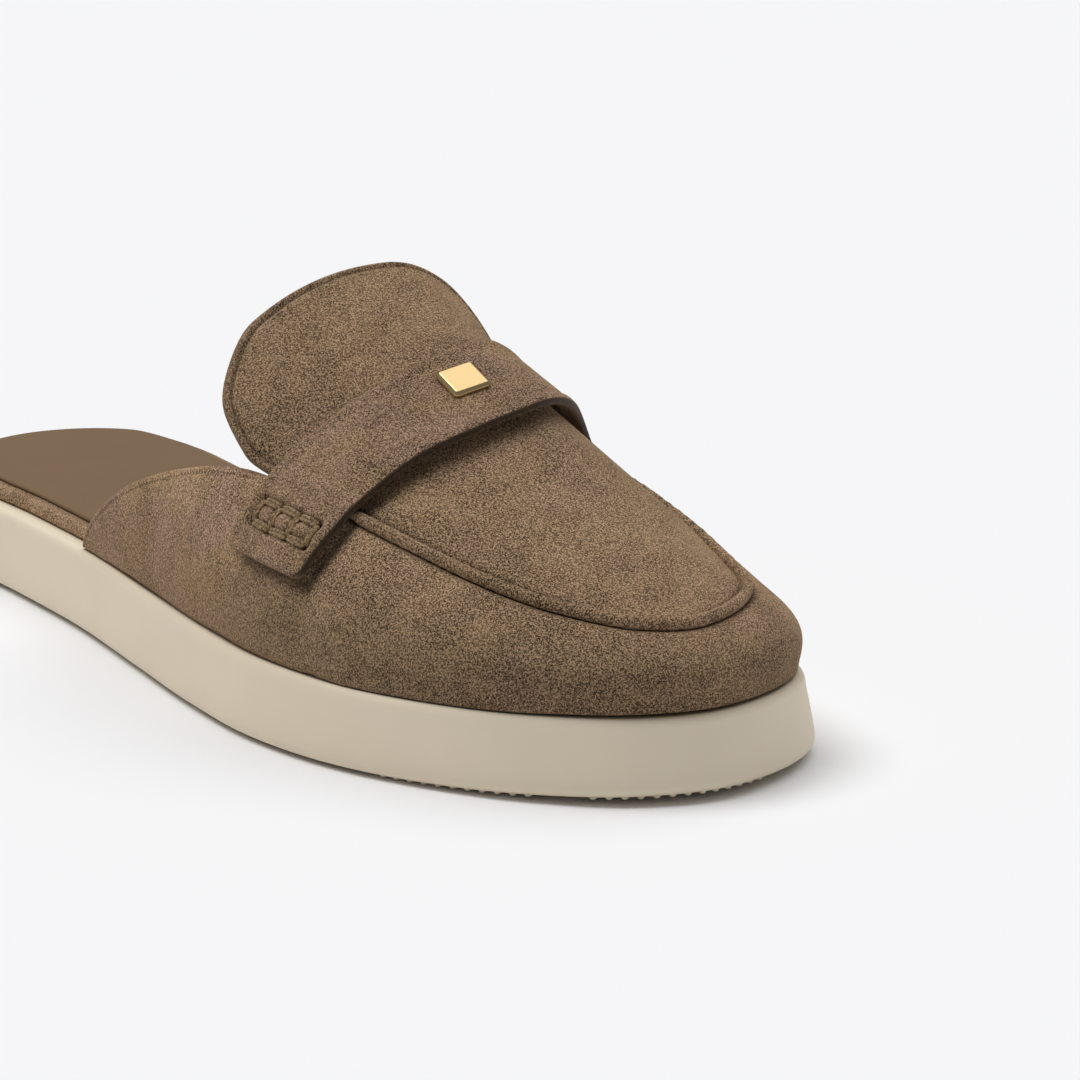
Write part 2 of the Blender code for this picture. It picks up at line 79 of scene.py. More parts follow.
# Moc seam: station of the feather below it, lateral height, lateral inset, medial height, medial inset
SEAM = (
    (85.0, 42.4, 3.0, 42.0, 3.0),
    (115.0, 42.8, 5.0, 42.5, 6.0),
    (150.0, 43.3, 8.4, 42.5, 10.5),
    (175.0, 41.0, 11.0, 39.6, 12.5),
    (198.0, 36.8, 12.5, 35.4, 12.5),
    (220.0, 32.0, 11.0, 30.9, 9.8),
    (244.0, 28.4, 5.4, 28.4, 5.4),
)

# Ridge of the instep: station, sideways place, height, roundness of its flanks
RIDGE = (
    (145.0, 6.9, 67.2, 1.8),
    (165.0, 7.4, 60.2, 1.8),
    (183.0, 7.5, 52.4, 1.85),
    (200.0, 7.0, 45.0, 1.95),
    (218.0, 5.8, 37.0, 2.0),
    (238.0, 4.5, 28.8, 2.0),
)

# Fullness of the wall: station, power of its inward lean, outward swell
FULLNESS = (
    (85.0, 2.2, 0.0),
    (150.0, 2.2, 0.4),
    (200.0, 2.4, 0.8),
    (244.0, 3.6, 1.6),
)

# Tongue behind the throat: edge station, lateral edge, medial edge, edge height,
# ridge station, ridge place, ridge height
TONGUE = (
    (155.0, -32.2, 22.6, 44.0, 156.5, 6.9, 63.2),
    (151.5, -33.4, 23.4, 46.6, 152.5, 6.5, 64.6),
    (144.0, -33.2, 25.0, 53.5, 143.0, 6.0, 69.0),
    (138.0, -29.5, 24.0, 61.5, 134.0, 5.6, 73.0),
)
TONGUE_ROOT = (170.4, 164.5, 160.0)
TONGUE_TUCK = 0.01
TONGUE_ROUNDNESS = 2.2
TONGUE_WALL = 2.4
TONGUE_CORNER_START = 0.8
TONGUE_CORNER_SHARE = 0.13

# Strap across the instep: share of the way over, rear station, front station
STRAP = (
    (0.0, 158.7, 182.3),
    (0.17, 160.3, 184.6),
    (0.3, 161.0, 184.2),
    (0.47, 161.8, 184.7),
    (0.6, 160.4, 182.2),
    (0.7, 158.8, 177.0),
    (0.8333, 156.0, 167.2),
    (1.0, 150.0, 171.5),
)
STRAP_END_HEIGHT = 30.2
STRAP_CLEARANCE = 0.5
STRAP_THICKNESS = 2.2
STRAP_LIFT = 1.2
STRAP_BEND = (0.0, 1.0 / 6.0, 5.0 / 6.0, 1.0)


# Small geometry
def unit(vectors):
    return vectors / np.maximum(np.linalg.norm(vectors, axis=-1), 1e-9)[..., None]


def run_along(line):
    """Length of a line of points up to each of them."""
    return np.r_[0, np.cumsum(np.linalg.norm(np.diff(line, axis=0), axis=1))]


def hermite(t, start, start_run, end, end_run):
    """Cubic curve from start to end, with its run at each."""
    return (
        (2 * t**3 - 3 * t**2 + 1) * start
        + (t**3 - 2 * t**2 + t) * start_run
        + (3 * t**2 - 2 * t**3) * end
        + (t**3 - t**2) * end_run
    )


# Read the shoe's surfaces
def smooth_rows(stations, values, x):
    """Read rows of values at x, on a smooth curve through the rows at their stations."""
    slopes = np.gradient(values, stations, axis=0)
    x = np.clip(np.asarray(x, float), stations[0], stations[-1])
    k = np.clip(np.searchsorted(stations, x) - 1, 0, len(stations) - 2)
    shape = x.shape + (1,) * (values.ndim - 1)
    span = (stations[k + 1] - stations[k]).reshape(shape)
    t = (x - stations[k]).reshape(shape) / span
    return hermite(t, values[k], span * slopes[k], values[k + 1], span * slopes[k + 1])


def table_rows(table, x):
    """Read all value columns of a station table at x."""
    rows = np.array(table, float)
    return smooth_rows(rows[:, 0], rows[:, 1:], x)


def closed_curve(points, steps):
    """Run a smooth closed curve through the points, with the given steps from one to the next."""
    points = np.array(points, float)
    ahead = np.roll(points, -1, axis=0)
    chord = np.linalg.norm(ahead - points, axis=1)[:, None]
    before = np.roll(chord, 1, axis=0)
    rate = (ahead - points) / chord
    tangent = (rate * before + np.roll(rate, 1, axis=0) * chord) / (before + chord)
    runs = tangent * chord, np.roll(tangent, -1, axis=0) * chord
    t = (np.arange(steps) / steps)[None, :, None]
    curve = hermite(t, points[:, None], runs[0][:, None], ahead[:, None], runs[1][:, None])
    return curve.reshape(-1, 2)


def outline_points():
    """List the outline's points from the heel along the lateral side, round the toe and back."""
    lateral = [(x, -y) for x, y, _ in OUTLINE]
    medial = [(x, y) for x, _, y in reversed(OUTLINE)]
    return [HEEL_TIP] + lateral + [TOE_TIP] + medial


class Rim:
    """The sole's outline as a curve that is read at a share of its length, 0 and 1 at the heel."""

    def __init__(self):
        dense = closed_curve(outline_points(), OUTLINE_STEPS)
        dense = np.vstack([dense, dense[:1]])
        length = run_along(dense)
        self.length = length[-1]
        self.share = length / length[-1]
        self.points = dense
        run = np.gradient(dense, axis=0)
        run[0] = run[-1] = dense[1] - dense[-2]
        self.normals = unit(np.c_[run[:, 1], -run[:, 0]])
        self.toe_share = float(self.share[np.argmax(dense[:, 0])])
        self.centre_y = (dense[:, 1].max() + dense[:, 1].min()) / 2

    def read(self, values, share):
        return np.stack([np.interp(share, self.share, values[:, k]) for k in range(2)], axis=-1)

    def inward(self, share):
        """Unit plan direction from the outline into the shoe."""
        return -unit(self.read(self.normals, share))

    def at(self, share, inset=0.0):
        """Give the plan point at a share of the outline, moved inward by the inset."""
        return self.read(self.points, share) + self.inward(share) * np.asarray(inset)[..., None]

    def share_at(self, station, medial):
        """Find the share at which the feather line passes a station on one side."""
        share = np.linspace(0, self.toe_share, 800)
        if medial:
            share = np.linspace(1, self.toe_share, 800)
        feather = self.at(share, FEATHER_INSET)[:, 0]
        return np.interp(station, np.maximum.accumulate(feather), share)

    def shares_at(self, lateral, medial):
        """Find the shares at a lateral and a medial station."""
        return self.share_at(lateral, False), self.share_at(medial, True)


RIM = Rim()
CENTRE = np.array([LENGTH / 2, RIM.centre_y, 0.0])


def spring(x):
    """Lift of the toe above the floor at a station."""
    run = np.clip((np.asarray(x, float) - TOE_SPRING_START) / (LENGTH - TOE_SPRING_START), 0, 1)
    return TOE_SPRING * run**2


def sole_top(x):
    drop = (SOLE_HEIGHT_HEEL - SOLE_HEIGHT_TOE) * np.asarray(x) / LENGTH
    return SOLE_HEIGHT_HEEL - drop + TOP_SPRING_SHARE * spring(x)


def topline_share(x):
    """Share of the wall's full height that the quarter keeps at a station."""
    run = np.clip((QUARTER_END + QUARTER_TOP_LENGTH - np.asarray(x, float)) / QUARTER_TOP_LENGTH, 0, 1)
    return (1 - run**QUARTER_POWER) ** (1 / QUARTER_POWER)


def wall_point(share, v):
    """Outer face of the wall above the outline's share; v runs from the feather to the seam."""
    x = RIM.at(share, FEATHER_INSET)[..., 0]
    seam, full = table_rows(SEAM, x), table_rows(FULLNESS, x)
    base = sole_top(x) + SEAT_GAP
    medial = 0.5 + 0.5 * np.tanh((share - RIM.toe_share) / TOE_BLEND)
    top = seam[..., 0] + (seam[..., 2] - seam[..., 0]) * medial
    lean = seam[..., 1] + (seam[..., 3] - seam[..., 1]) * medial
    inset = lean * v ** full[..., 0] - full[..., 1] * np.sin(np.pi * np.clip(v, 0, 1)) ** 1.5
    plan = RIM.at(share, FEATHER_INSET + inset)
    height = base + (top - base) * v
    return np.concatenate([plan, height[..., None]], axis=-1)


def apron_point(lateral, medial, w):
    """Top of the vamp between two seam points; w runs from 0 to 1 across it."""
    chord = lateral + (medial - lateral) * w[..., None]
    middle_x = (lateral[..., 0] + medial[..., 0]) / 2
    ridge = table_rows(RIDGE, middle_x)
    peak = (ridge[..., 0] - lateral[..., 1]) / np.maximum(medial[..., 1] - lateral[..., 1], 1e-6)
    peak = np.clip(peak, 0.3, 0.7)
    flank = np.where(w < peak, (peak - w) / peak, (w - peak) / (1 - peak))
    base = lateral[..., 2] + (medial[..., 2] - lateral[..., 2]) * peak
    rise = np.maximum(ridge[..., 1] - base, 0) * (1 - flank ** ridge[..., 2])
    chord[..., 2] += rise
    return chord


def section_point(x, c):
    """Outer face of the upper at a station; c is 0 and 4 at the feathers, 1 and 3 at the seams."""
    x, c = np.broadcast_arrays(np.asarray(x, float), np.asarray(c, float))
    lateral_share, medial_share = RIM.shares_at(x, x)
    one = np.ones_like(x)
    across = np.clip((c - 1) / 2, 0, 1)
    top = apron_point(wall_point(lateral_share, one), wall_point(medial_share, one), across)
    near = wall_point(lateral_share, np.clip(c, 0, 1))
    far = wall_point(medial_share, np.clip(4 - c, 0, 1))
    point = np.where((c < 1)[..., None], near, top)
    return np.where((c > 3)[..., None], far, point)


def section_normal(x, c):
    """Outward direction of the upper's face at a station."""
    along = section_point(x + 0.5, c) - section_point(x - 0.5, c)
    across = section_point(x, c + 0.02) - section_point(x, c - 0.02)
    return unit(np.cross(along, across))


# Shape sheets of points
def sheet_normals(sheet):
    """Directions square to a sheet of points, from its columns turned towards its rows."""
    normals = unit(np.cross(np.gradient(sheet, axis=1), np.gradient(sheet, axis=0)))
    return unit(blurred(blurred(normals, 1, 0), 1, 1))


def blurred(values, reach, axis):
    """Even out values along one axis, keeping both ends."""
    count = values.shape[axis]
    place = np.arange(count)
    total, weight = np.zeros_like(values), 0.0
    for step in range(-reach, reach + 1):
        share = math.exp(-2.0 * (step / reach) ** 2)
        total = total + share * np.take(values, np.clip(place + step, 0, count - 1), axis=axis)
        weight += share
    return total / weight


def distance_to_line(points, line):
    """Shortest distance from every point to a line of points."""
    flat, best = points.reshape(-1, 3), np.full(points.size // 3, 1e9)
    for start, end in zip(line[:-1], line[1:]):
        run = end - start
        t = np.clip((flat - start) @ run / max(run @ run, 1e-12), 0, 1)
        best = np.minimum(best, np.linalg.norm(flat - start - t[:, None] * run, axis=1))
    return best.reshape(points.shape[:-1])


def edge_fade(distance, radius, power=2.0):
    """Share of the full half thickness at a distance from a rounded edge."""
    run = 1 - np.clip(distance / radius, 0, 1)
    return np.maximum(1 - run**power, 0) ** (1 / power)


def steps_near(fine, coarse, end):
    """Distances from an edge: the fine ones first, then even steps of about the coarse size."""
    rest = np.linspace(fine[-1], end, max(2, int(round((end - fine[-1]) / coarse)) + 1))
    return np.r_[fine, rest[1:]]


def edge_spacing(count, power=1.7):
    """Shares from 0 to 1 that crowd towards both ends."""
    run = np.linspace(-1, 1, count)
    return (np.sign(run) * (1 - (1 - np.abs(run)) ** power) + 1) / 2


def bump_line(distance, centre, width):
    """Soft hump of height 1 at a distance from an edge."""
    return np.exp(-(((distance - centre) / width) ** 2))


# Make meshes
WELD_REACH = 0.004


def grid_mesh(sheet):
    """A grid with its vertices on the sheet's points; give each vertex's row and column with it."""
    rows, columns = sheet.shape[:2]
    mesh = bmesh.new()
    bmesh.ops.create_grid(mesh, x_segments=columns - 1, y_segments=rows - 1, size=0.5)
    spots = np.array([vertex.co[:] for vertex in mesh.verts])
    column = np.rint((spots[:, 0] + 0.5) * (columns - 1)).astype(int)
    row = np.rint((spots[:, 1] + 0.5) * (rows - 1)).astype(int)
    for vertex, place in zip(mesh.verts, ((sheet[row, column] - CENTRE) * MM).tolist()):
        vertex.co = place
    return mesh, row, column


def sheet_mesh(sheet, marks=None):
    """A sheet's grid, welded where its points meet, with its marks as attributes."""
    mesh, row, column = grid_mesh(sheet)
    for name, values in (marks or {}).items():
        layer = mesh.verts.layers.float.new(name)
        for vertex, value in zip(mesh.verts, values[row, column].tolist()):
            vertex[layer] = value
    bmesh.ops.remove_doubles(mesh, verts=mesh.verts, dist=WELD_REACH * MM)
    bmesh.ops.dissolve_degenerate(mesh, edges=mesh.edges, dist=WELD_REACH / 4 * MM)
    return mesh


def shell_sheet(middle, normals, half):
    """Both faces of a wall as one folded sheet, which closes where its half thickness is nothing."""
    return both_sides(middle + normals * half[..., None], middle - normals * half[..., None])


def wall_marks(edge, **outer):
    """Marks of a folded wall: values for its outer face, and lining on its inner face."""
    zero = np.zeros(edge.shape)
    marks = {name: both_sides(zero + values, zero) for name, values in outer.items()}
    marks["lined"] = both_sides(zero, np.clip(edge / LINING_REACH, 0, 1))
    return marks


def both_sides(outer, inner):
    """Two faces as one sheet, folded over at its last row."""
    return np.vstack([outer, inner[::-1]])


def add_object(name, data):
    made = bpy.data.objects.new(name, data)
    bpy.context.scene.collection.objects.link(made)
    return made


def mesh_object(name, mesh, material):
    """Turn a bmesh into an object with one material."""
    data = bpy.data.meshes.new(name)
    mesh.to_mesh(data)
    mesh.free()
    data.materials.append(material)
    return add_object(name, data)


def piece(name, mesh, material, slot, *nodes):
    """Turn a bmesh into a named piece that rides on the shoe, in place of the CAD nodes named."""
    bmesh.ops.recalc_face_normals(mesh, faces=mesh.faces)
    made = mesh_object(name, mesh, material)
    made.data.shade_smooth()
    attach(made, "root")
    if nodes:
        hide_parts(*nodes)
    return made


def close_across(mesh, ring):
    """Close a ring whose places k and count - k lie opposite each other with a ladder; give its rungs."""
    count = len(ring)
    half = count // 2
    rungs = [mesh.edges.new((ring[k], ring[count - k])) for k in range(1, half)]
    mesh.faces.new((ring[0], ring[1], ring[count - 1]))
    for k in range(1, half - 1):
        mesh.faces.new((ring[k], ring[k + 1], ring[count - k - 1], ring[count - k]))
    mesh.faces.new((ring[half - 1], ring[half], ring[half + 1]))
    return rungs


def ring_shares(count):
    """Shares round the whole outline; place k and place count - k lie opposite each other."""
    lateral = np.linspace(0, RIM.toe_share, count // 2 + 1)
    medial = np.linspace(RIM.toe_share, 1, count // 2 + 1)
    return np.r_[lateral, medial[1:]]


def stacked_mesh(levels, count, cuts=0):
    """Closed solid from rings round the outline, each given as inset and height function, bottom first."""
    shares = ring_shares(count)
    plans = [RIM.at(shares, inset) for inset, _ in levels]
    sheet = np.array([np.c_[plan, height(*plan.T)] for plan, (_, height) in zip(plans, levels)])
    sheet[:, -1] = sheet[:, 0]
    mesh, row, column = grid_mesh(sheet)
    spot = {}
    for vertex, r, c in zip(mesh.verts, row.tolist(), column.tolist()):
        spot[r, c] = vertex
    bmesh.ops.weld_verts(mesh, targetmap={spot[r, count]: spot[r, 0] for r in range(len(levels))})
    rungs = []
    for r in (0, len(levels) - 1):
        rungs += close_across(mesh, [spot[r, c] for c in range(count)])
    if cuts:
        bmesh.ops.subdivide_edges(mesh, edges=rungs, cuts=cuts, use_grid_fill=True)
    return mesh


# Write finishes as Python expressions
class Value:
    """A shader number that takes part in Python arithmetic."""

    def __init__(self, finish, socket):
        self.finish, self.socket = finish, socket

    def math(self, operation, *others):
        sockets = dict(enumerate((self, *others)))
        return self.finish.add("ShaderNodeMath", {"operation": operation}, sockets)

    def __add__(self, other):
        return self.math("ADD", other)

    def __sub__(self, other):
        return self.math("SUBTRACT", other)

    def __rsub__(self, other):
        return self.math("MULTIPLY", -1.0).math("ADD", other)

    def __mul__(self, other):
        return self.math("MULTIPLY", other)

    __radd__ = __add__
    __rmul__ = __mul__


class Finish:
    """One material, written as expressions on its nodes."""

    def __init__(self, name):
        self.material = bpy.data.materials.new(name)
        self.material.use_nodes = True
        self.tree = self.material.node_tree
        self.shader = self.tree.nodes["Principled BSDF"]
        self.position = self.add("ShaderNodeTexCoord", output="Object")

    def add(self, kind, settings=None, sockets=None, output=0):
        """Add a node with its settings, then its socket values or links; give one output."""
        node = self.tree.nodes.new(kind)
        for name, value in (settings or {}).items():
            setattr(node, name, value)
        for name, value in (sockets or {}).items():
            self.feed(node.inputs[name], value)
        return Value(self, node.outputs[output])

    def feed(self, socket, value):
        if isinstance(value, Value):
            self.tree.links.new(value.socket, socket)
        elif socket.type == "RGBA":
            socket.default_value = (*value, 1.0)
        else:
            socket.default_value = value

    def shade(self, **values):
        """Set the shader's sockets; an underscore stands for a space."""
        for name, value in values.items():
            self.feed(self.shader.inputs[name.replace("_", " ")], value)

    def noise(self, scale, detail=2.0, roughness=0.5):
        sockets = {"Vector": self.position, "Scale": scale, "Detail": detail, "Roughness": roughness}
        return self.add("ShaderNodeTexNoise", None, sockets)

    def smooth(self, value, low, high, out_low=0.0, out_high=1.0):
        """Ease a value from one range to another."""
        sockets = {"Value": value, "From Min": low, "From Max": high, "To Min": out_low, "To Max": out_high}
        return self.add("ShaderNodeMapRange", {"interpolation_type": "SMOOTHSTEP"}, sockets)

    def blend(self, share, first, second, mode="MIX"):
        """Mix two colours by a share."""
        settings = {"data_type": "RGBA", "blend_type": mode}
        return self.add("ShaderNodeMix", settings, {0: share, 6: first, 7: second}, 2)

    def darker(self, colour, share):
        """Scale a colour by a share."""
        grey = self.add("ShaderNodeCombineXYZ", None, {0: share, 1: share, 2: share})
        return self.blend(1.0, colour, grey, "MULTIPLY")

    def mark(self, name):
        """Read a number that the mesh carries."""
        return self.add("ShaderNodeAttribute", {"attribute_name": name}, None, "Fac")

    def bump(self, height, strength, depth):
        """Give the surface a relief of a depth in millimetres."""
        sockets = {"Height": height, "Strength": strength, "Distance": depth * MM}
        return self.add("ShaderNodeBump", None, sockets)


# Finishes
GRAIN_SCALE = 3700.0
GRAIN_SHARE = 0.78
TUFT_SCALE = 2300.0
MOTTLE_SCALE = 150.0
CLOUD_SCALE = 38.0
HUE_SCALE = 60.0
PAINT_SCALE = 700.0
SPECK_RANGE = (0.44, 0.592)
TONE_RANGE = (0.36, 0.64)
HUE_RANGE = (0.4, 0.62)
SPECK_SHARE = 0.74
TONE_SHARE = 0.14
LIGHT_LEAST = 0.02
HUE_TINT = 0.3
QUARTER_TINT = 0.3
# Painted light: the quarter's colour is lifted a little
QUARTER_PAINTED_LIGHT = 0.05
PRESS_SHADE = 0.7
# Heights in millimetres between which painted shade darkens the suede towards the foot of the walls
SHADE_HEIGHTS = (15.5, 46.0)
STITCH_LINE = 1.5
STITCH_PITCH = 1.1
STITCH_BAND = (0.34, 0.14)
STITCH_WAVE = (-0.35, 0.35)
STITCH_SHADE = 0.6
SUEDE_DARK = (0.030, 0.017, 0.009)
SUEDE_LIGHT = (0.74, 0.495, 0.29)
SUEDE_OLIVE = (0.22, 0.142, 0.068)
SUEDE_ROSE = (0.31, 0.20, 0.145)
LINING = (0.12, 0.08, 0.045)
EDGE_PAINT = (0.105, 0.070, 0.042)
# Near-black colour painted as shade in needle holes and grooves
HOLE_SHADE_COLOUR = (0.018, 0.011, 0.007)
CREAM = (0.83, 0.725, 0.56)
CREAM_SHADE = (0.73, 0.63, 0.48)
SOCK_LEATHER = (0.19, 0.112, 0.05)
THREAD_DARK = (0.13, 0.085, 0.045)
THREAD_LIGHT = (0.40, 0.275, 0.155)
GOLD = (0.56, 0.41, 0.20)


def suede_nap(finish, rose):
    """Colour of the nap, dark and light specks over soft mottles, and its height."""
    grain = finish.noise(GRAIN_SCALE, 3.0, 0.7)
    tuft = finish.noise(TUFT_SCALE, 2.0, 0.6)
    speck = finish.smooth(grain * GRAIN_SHARE + tuft * (1 - GRAIN_SHARE), *SPECK_RANGE)
    mottle, cloud = finish.noise(MOTTLE_SCALE, 3.0, 0.55), finish.noise(CLOUD_SCALE)
    tone = finish.smooth(mottle * 0.5 + cloud * 0.5, *TONE_RANGE)
    colour = finish.blend(speck * SPECK_SHARE + tone * TONE_SHARE + LIGHT_LEAST, SUEDE_DARK, SUEDE_LIGHT)
    hue = finish.smooth(finish.noise(HUE_SCALE), *HUE_RANGE)
    tint = hue * HUE_TINT + finish.mark("quarter") * QUARTER_TINT + rose
    colour = finish.blend(tint, colour, finish.blend(hue, SUEDE_OLIVE, SUEDE_ROSE), "COLOR")
    return colour, grain * 0.6 + tuft * 0.4


def suede(name, rose=0.0, level=1.0, low_shade_level=1.0):
    """Brown suede with a fine speckled nap, with painted shade that darkens it low down, and with what the
    marks say on it.
    """
    finish = Finish(name)
    colour, nap = suede_nap(finish, rose)
    paint, lined = finish.mark("paint"), finish.mark("lined")
    paint_colour = finish.blend(finish.noise(PAINT_SCALE), deeper(EDGE_PAINT), EDGE_PAINT)
    colour = finish.blend(lined, finish.blend(paint, colour, paint_colour), LINING)
    height = finish.add("ShaderNodeSeparateXYZ", None, {0: finish.position}, 2)
    # Painted shade: the colour falls from its level to the low level towards the bottom
    shade = finish.smooth(height, SHADE_HEIGHTS[0] * MM, SHADE_HEIGHTS[1] * MM, low_shade_level * level, level)
    # Painted shade wherever the press mark lies: at the strap's edges, in the crease under the seam roll, in
    # the groove behind it and in the strap's stitch channels
    pressed = 1 - finish.mark("press") * PRESS_SHADE
    # Painted light lifts the quarter's colour a little
    colour = finish.darker(colour, shade * pressed * (finish.mark("quarter") * QUARTER_PAINTED_LIGHT + 1.0))
    # Painted shade in needle holes and in the tongue's groove
    colour = finish.blend(finish.mark("hole"), colour, HOLE_SHADE_COLOUR)
    finish.shade(
        Base_Color=finish.blend(topline_dots(finish), colour, HOLE_SHADE_COLOUR),
        Roughness=0.92 - (paint * 0.35 + lined * 0.25),
        Normal=finish.bump(nap * (1 - paint * 0.9), 0.7, 0.3),
        Sheen_Weight=0.42,
        Sheen_Roughness=0.4,
        Sheen_Tint=SUEDE_LIGHT,
        Specular_IOR_Level=0.12,
    )
    return finish.material


def deeper(colour):
    return tuple(0.8 * part for part in colour)


def topline_dots(finish):
    """Painted shade of needle holes in a row inside the quarter's top edge, from the distance to it and the
    run along it.
    """
    aside = (finish.mark("line") - STITCH_LINE).math("ABSOLUTE")
    wave = (finish.mark("run") * (2 * math.pi / STITCH_PITCH)).math("SINE")
    dots = finish.smooth(aside, *STITCH_BAND) * finish.smooth(wave, *STITCH_WAVE)
    return dots * finish.mark("quarter") * STITCH_SHADE


def cream_rubber():
    """Matt cream rubber, a little deeper in soft patches, with a fine moulded grain."""
    finish = Finish("cream_rubber")
    patch = finish.smooth(finish.noise(45.0), 0.35, 0.65)
    speckle = finish.noise(2600.0, 2.0, 0.6)
    finish.shade(
        Base_Color=finish.blend(patch * 0.2, CREAM, CREAM_SHADE),
        Roughness=speckle * 0.12 + 0.5,
        Normal=finish.bump(speckle, 0.12, 0.05),
        Specular_IOR_Level=0.35,
    )
    return finish.material


def sock_leather():
    """Smooth brown sock leather with a fine grain and slow changes of tone."""
    finish = Finish("sock_leather")
    sockets = {"Vector": finish.position, "Scale": 1400.0}
    grain = finish.add("ShaderNodeTexVoronoi", {"feature": "DISTANCE_TO_EDGE"}, sockets)
    cloud = finish.smooth(finish.noise(40.0, 3.0, 0.55), 0.3, 0.7)
    finish.shade(
        Base_Color=finish.blend(cloud * 0.35, SOCK_LEATHER, deeper(SOCK_LEATHER)),
        Roughness=cloud * 0.1 + 0.48,
        Normal=finish.bump(finish.smooth(grain, 0.0, 0.25), 0.12, 0.04),
        Specular_IOR_Level=0.4,
    )
    return finish.material


def pale_gold():
    """Polished pale gold with faint brushed wear."""
    finish = Finish("pale_gold")
    wear = finish.noise(900.0)
    finish.shade(
        Base_Color=GOLD,
        Metallic=1.0,
        Roughness=wear * 0.12 + 0.28,
        Normal=finish.bump(wear, 0.05, 0.02),
    )
    return finish.material


def stitch_thread():
    """Waxed brown thread with a fine twist."""
    finish = Finish("stitch_thread")
    fibre = finish.noise(2400.0, 2.0, 0.6)
    colour = finish.blend(finish.smooth(fibre, 0.35, 0.65), THREAD_DARK, THREAD_LIGHT)
    nap = finish.bump(fibre, 0.7, 0.25)
    finish.shade(Base_Color=colour, Roughness=0.85, Normal=nap, Specular_IOR_Level=0.12)
    return finish.material


# Sole
SOLE_COUNT = 720
SOLE_FLOOR_INSETS = (9.0, 4.0, 2.2)
SOLE_TOP_INSETS = (4.2, 9.0)
FOOT_RADIUS = 1.7
FOOT_INSET = 0.1
SIDE_INSET = 0.05
SIDE_FLARE = 1.65
SIDE_FLARE_POWER = 1.15
SIDE_LOW = 2.0
SIDE_HIGH = 2.4
LIP_INSET = 1.75
LIP_WIDTH = 1.35
LIP_DROP = 1.9


def foot_height(rise):
    return lambda x, y: TREAD_DEPTH + rise + spring(x)


def top_height(rise):
    return lambda x, y: sole_top(x) + rise


def side_height(share):
    low, high = foot_height(SIDE_LOW), top_height(-SIDE_HIGH)
    return lambda x, y: low(x, y) * (1 - share) + high(x, y) * share


def build_sole(finish):
    """Cupsole with a flared wall, a soft lip at the top and a rounded foot, on a ribbed tread."""
    levels = [(inset, foot_height(0.0)) for inset in SOLE_FLOOR_INSETS]
    for angle in np.linspace(0, math.pi / 2, 7):
        inset = FOOT_RADIUS * (1 - math.sin(angle)) + FOOT_INSET
        levels.append((inset, foot_height(FOOT_RADIUS * (1 - math.cos(angle)))))
    for share in np.linspace(0.08, 0.95, 9):
        levels.append((SIDE_INSET + SIDE_FLARE * share**SIDE_FLARE_POWER, side_height(share)))
    for angle in np.linspace(0.12, math.pi / 2, 8):
        inset = LIP_INSET + LIP_WIDTH * (1 - math.cos(angle))
        levels.append((inset, top_height(LIP_DROP * (math.sin(angle) - 1))))
    levels += [(inset, top_height(0.0)) for inset in SOLE_TOP_INSETS]
    return piece("cupsole", stacked_mesh(levels, SOLE_COUNT), finish, "sole_rubber", "sole")


# Tread
RIB_PITCH = 2.9
RIB_RADIUS = 0.75
RIB_END_INSET = 8.0
RIB_ZONES = ((12.0, 76.0), (140.0, 238.0))
TOOTH_INSETS = (1.75, 6.0)
TOOTH_ENDS = (204.0, 241.0)
TOOTH_GAP = (230.5, 237.3)


def build_tread(finish):
    """Cross ribs with round backs under the sole, and small teeth along its edge round the toe."""
    whole = bmesh.new()
    for start, end in RIB_ZONES:
        for x in np.arange(start, end, RIB_PITCH):
            low, high = [RIM.at(share, RIB_END_INSET) for share in RIM.shares_at(x, x)]
            add_rib(whole, low, high, spring(x))
    for share in np.arange(*RIM.shares_at(*TOOTH_ENDS), RIB_PITCH / RIM.length):
        outer, inner = [RIM.at(share, inset) for inset in TOOTH_INSETS]
        if share > RIM.toe_share or not TOOTH_GAP[0] < outer[0] < TOOTH_GAP[1]:
            add_rib(whole, outer, inner, spring(outer[0]))
    return piece("tread_ribs", whole, finish, "sole_rubber")


def add_rib(whole, low, high, lift):
    """One rib from edge to edge, as a capsule flattened on the floor."""
    length = np.linalg.norm(high - low)
    middle = (low + high) / 2 - CENTRE[:2]
    angle = math.atan2(high[1] - low[1], high[0] - low[0])
    turn = Matrix.Rotation(angle, 3, "Z") @ Matrix.Rotation(math.pi / 2, 3, "Y")
    ball = bmesh.ops.create_uvsphere(whole, u_segments=10, v_segments=8, radius=RIB_RADIUS)
    for vertex in ball["verts"]:
        spot = vertex.co.copy()
        if abs(spot.z) > 1e-6:
            spot.z += math.copysign(length / 2 - RIB_RADIUS, spot.z)
        spot = turn @ spot
        height = max(spot.z, -TREAD_DEPTH) + TREAD_DEPTH + lift
        vertex.co = ((spot.x + middle[0]) * MM, (spot.y + middle[1]) * MM, height * MM)


# Footbed and insole
BED_COUNT = 480
BED_EDGE = ((9.0, 0.0), (5.9, 0.0), (5.5, 0.15), (5.4, 0.6), (5.6, 1.2))
BED_HEIGHT = 2.3
BED_ROLL_INSET = 6.9
BED_ROLL_WIDTH = 1.2
BED_ROLL_RISE = 1.1
BED_TOP_INSETS = (8.0, 10.0)


def build_footbed(finish):
    """Suede wrapped footbed with a soft rolled edge."""
    rings = list(BED_EDGE)
    for angle in np.linspace(0.2, math.pi / 2, 6):
        drop = BED_ROLL_RISE * (1 - math.sin(angle))
        rings.append((BED_ROLL_INSET - BED_ROLL_WIDTH * math.cos(angle), BED_HEIGHT - drop))
    rings += [(inset, BED_HEIGHT) for inset in BED_TOP_INSETS]
    levels = [(inset, top_height(SEAT_GAP + rise)) for inset, rise in rings]
    return piece("footbed_wrap", stacked_mesh(levels, BED_COUNT), finish, "footbed_suede", "footbed")


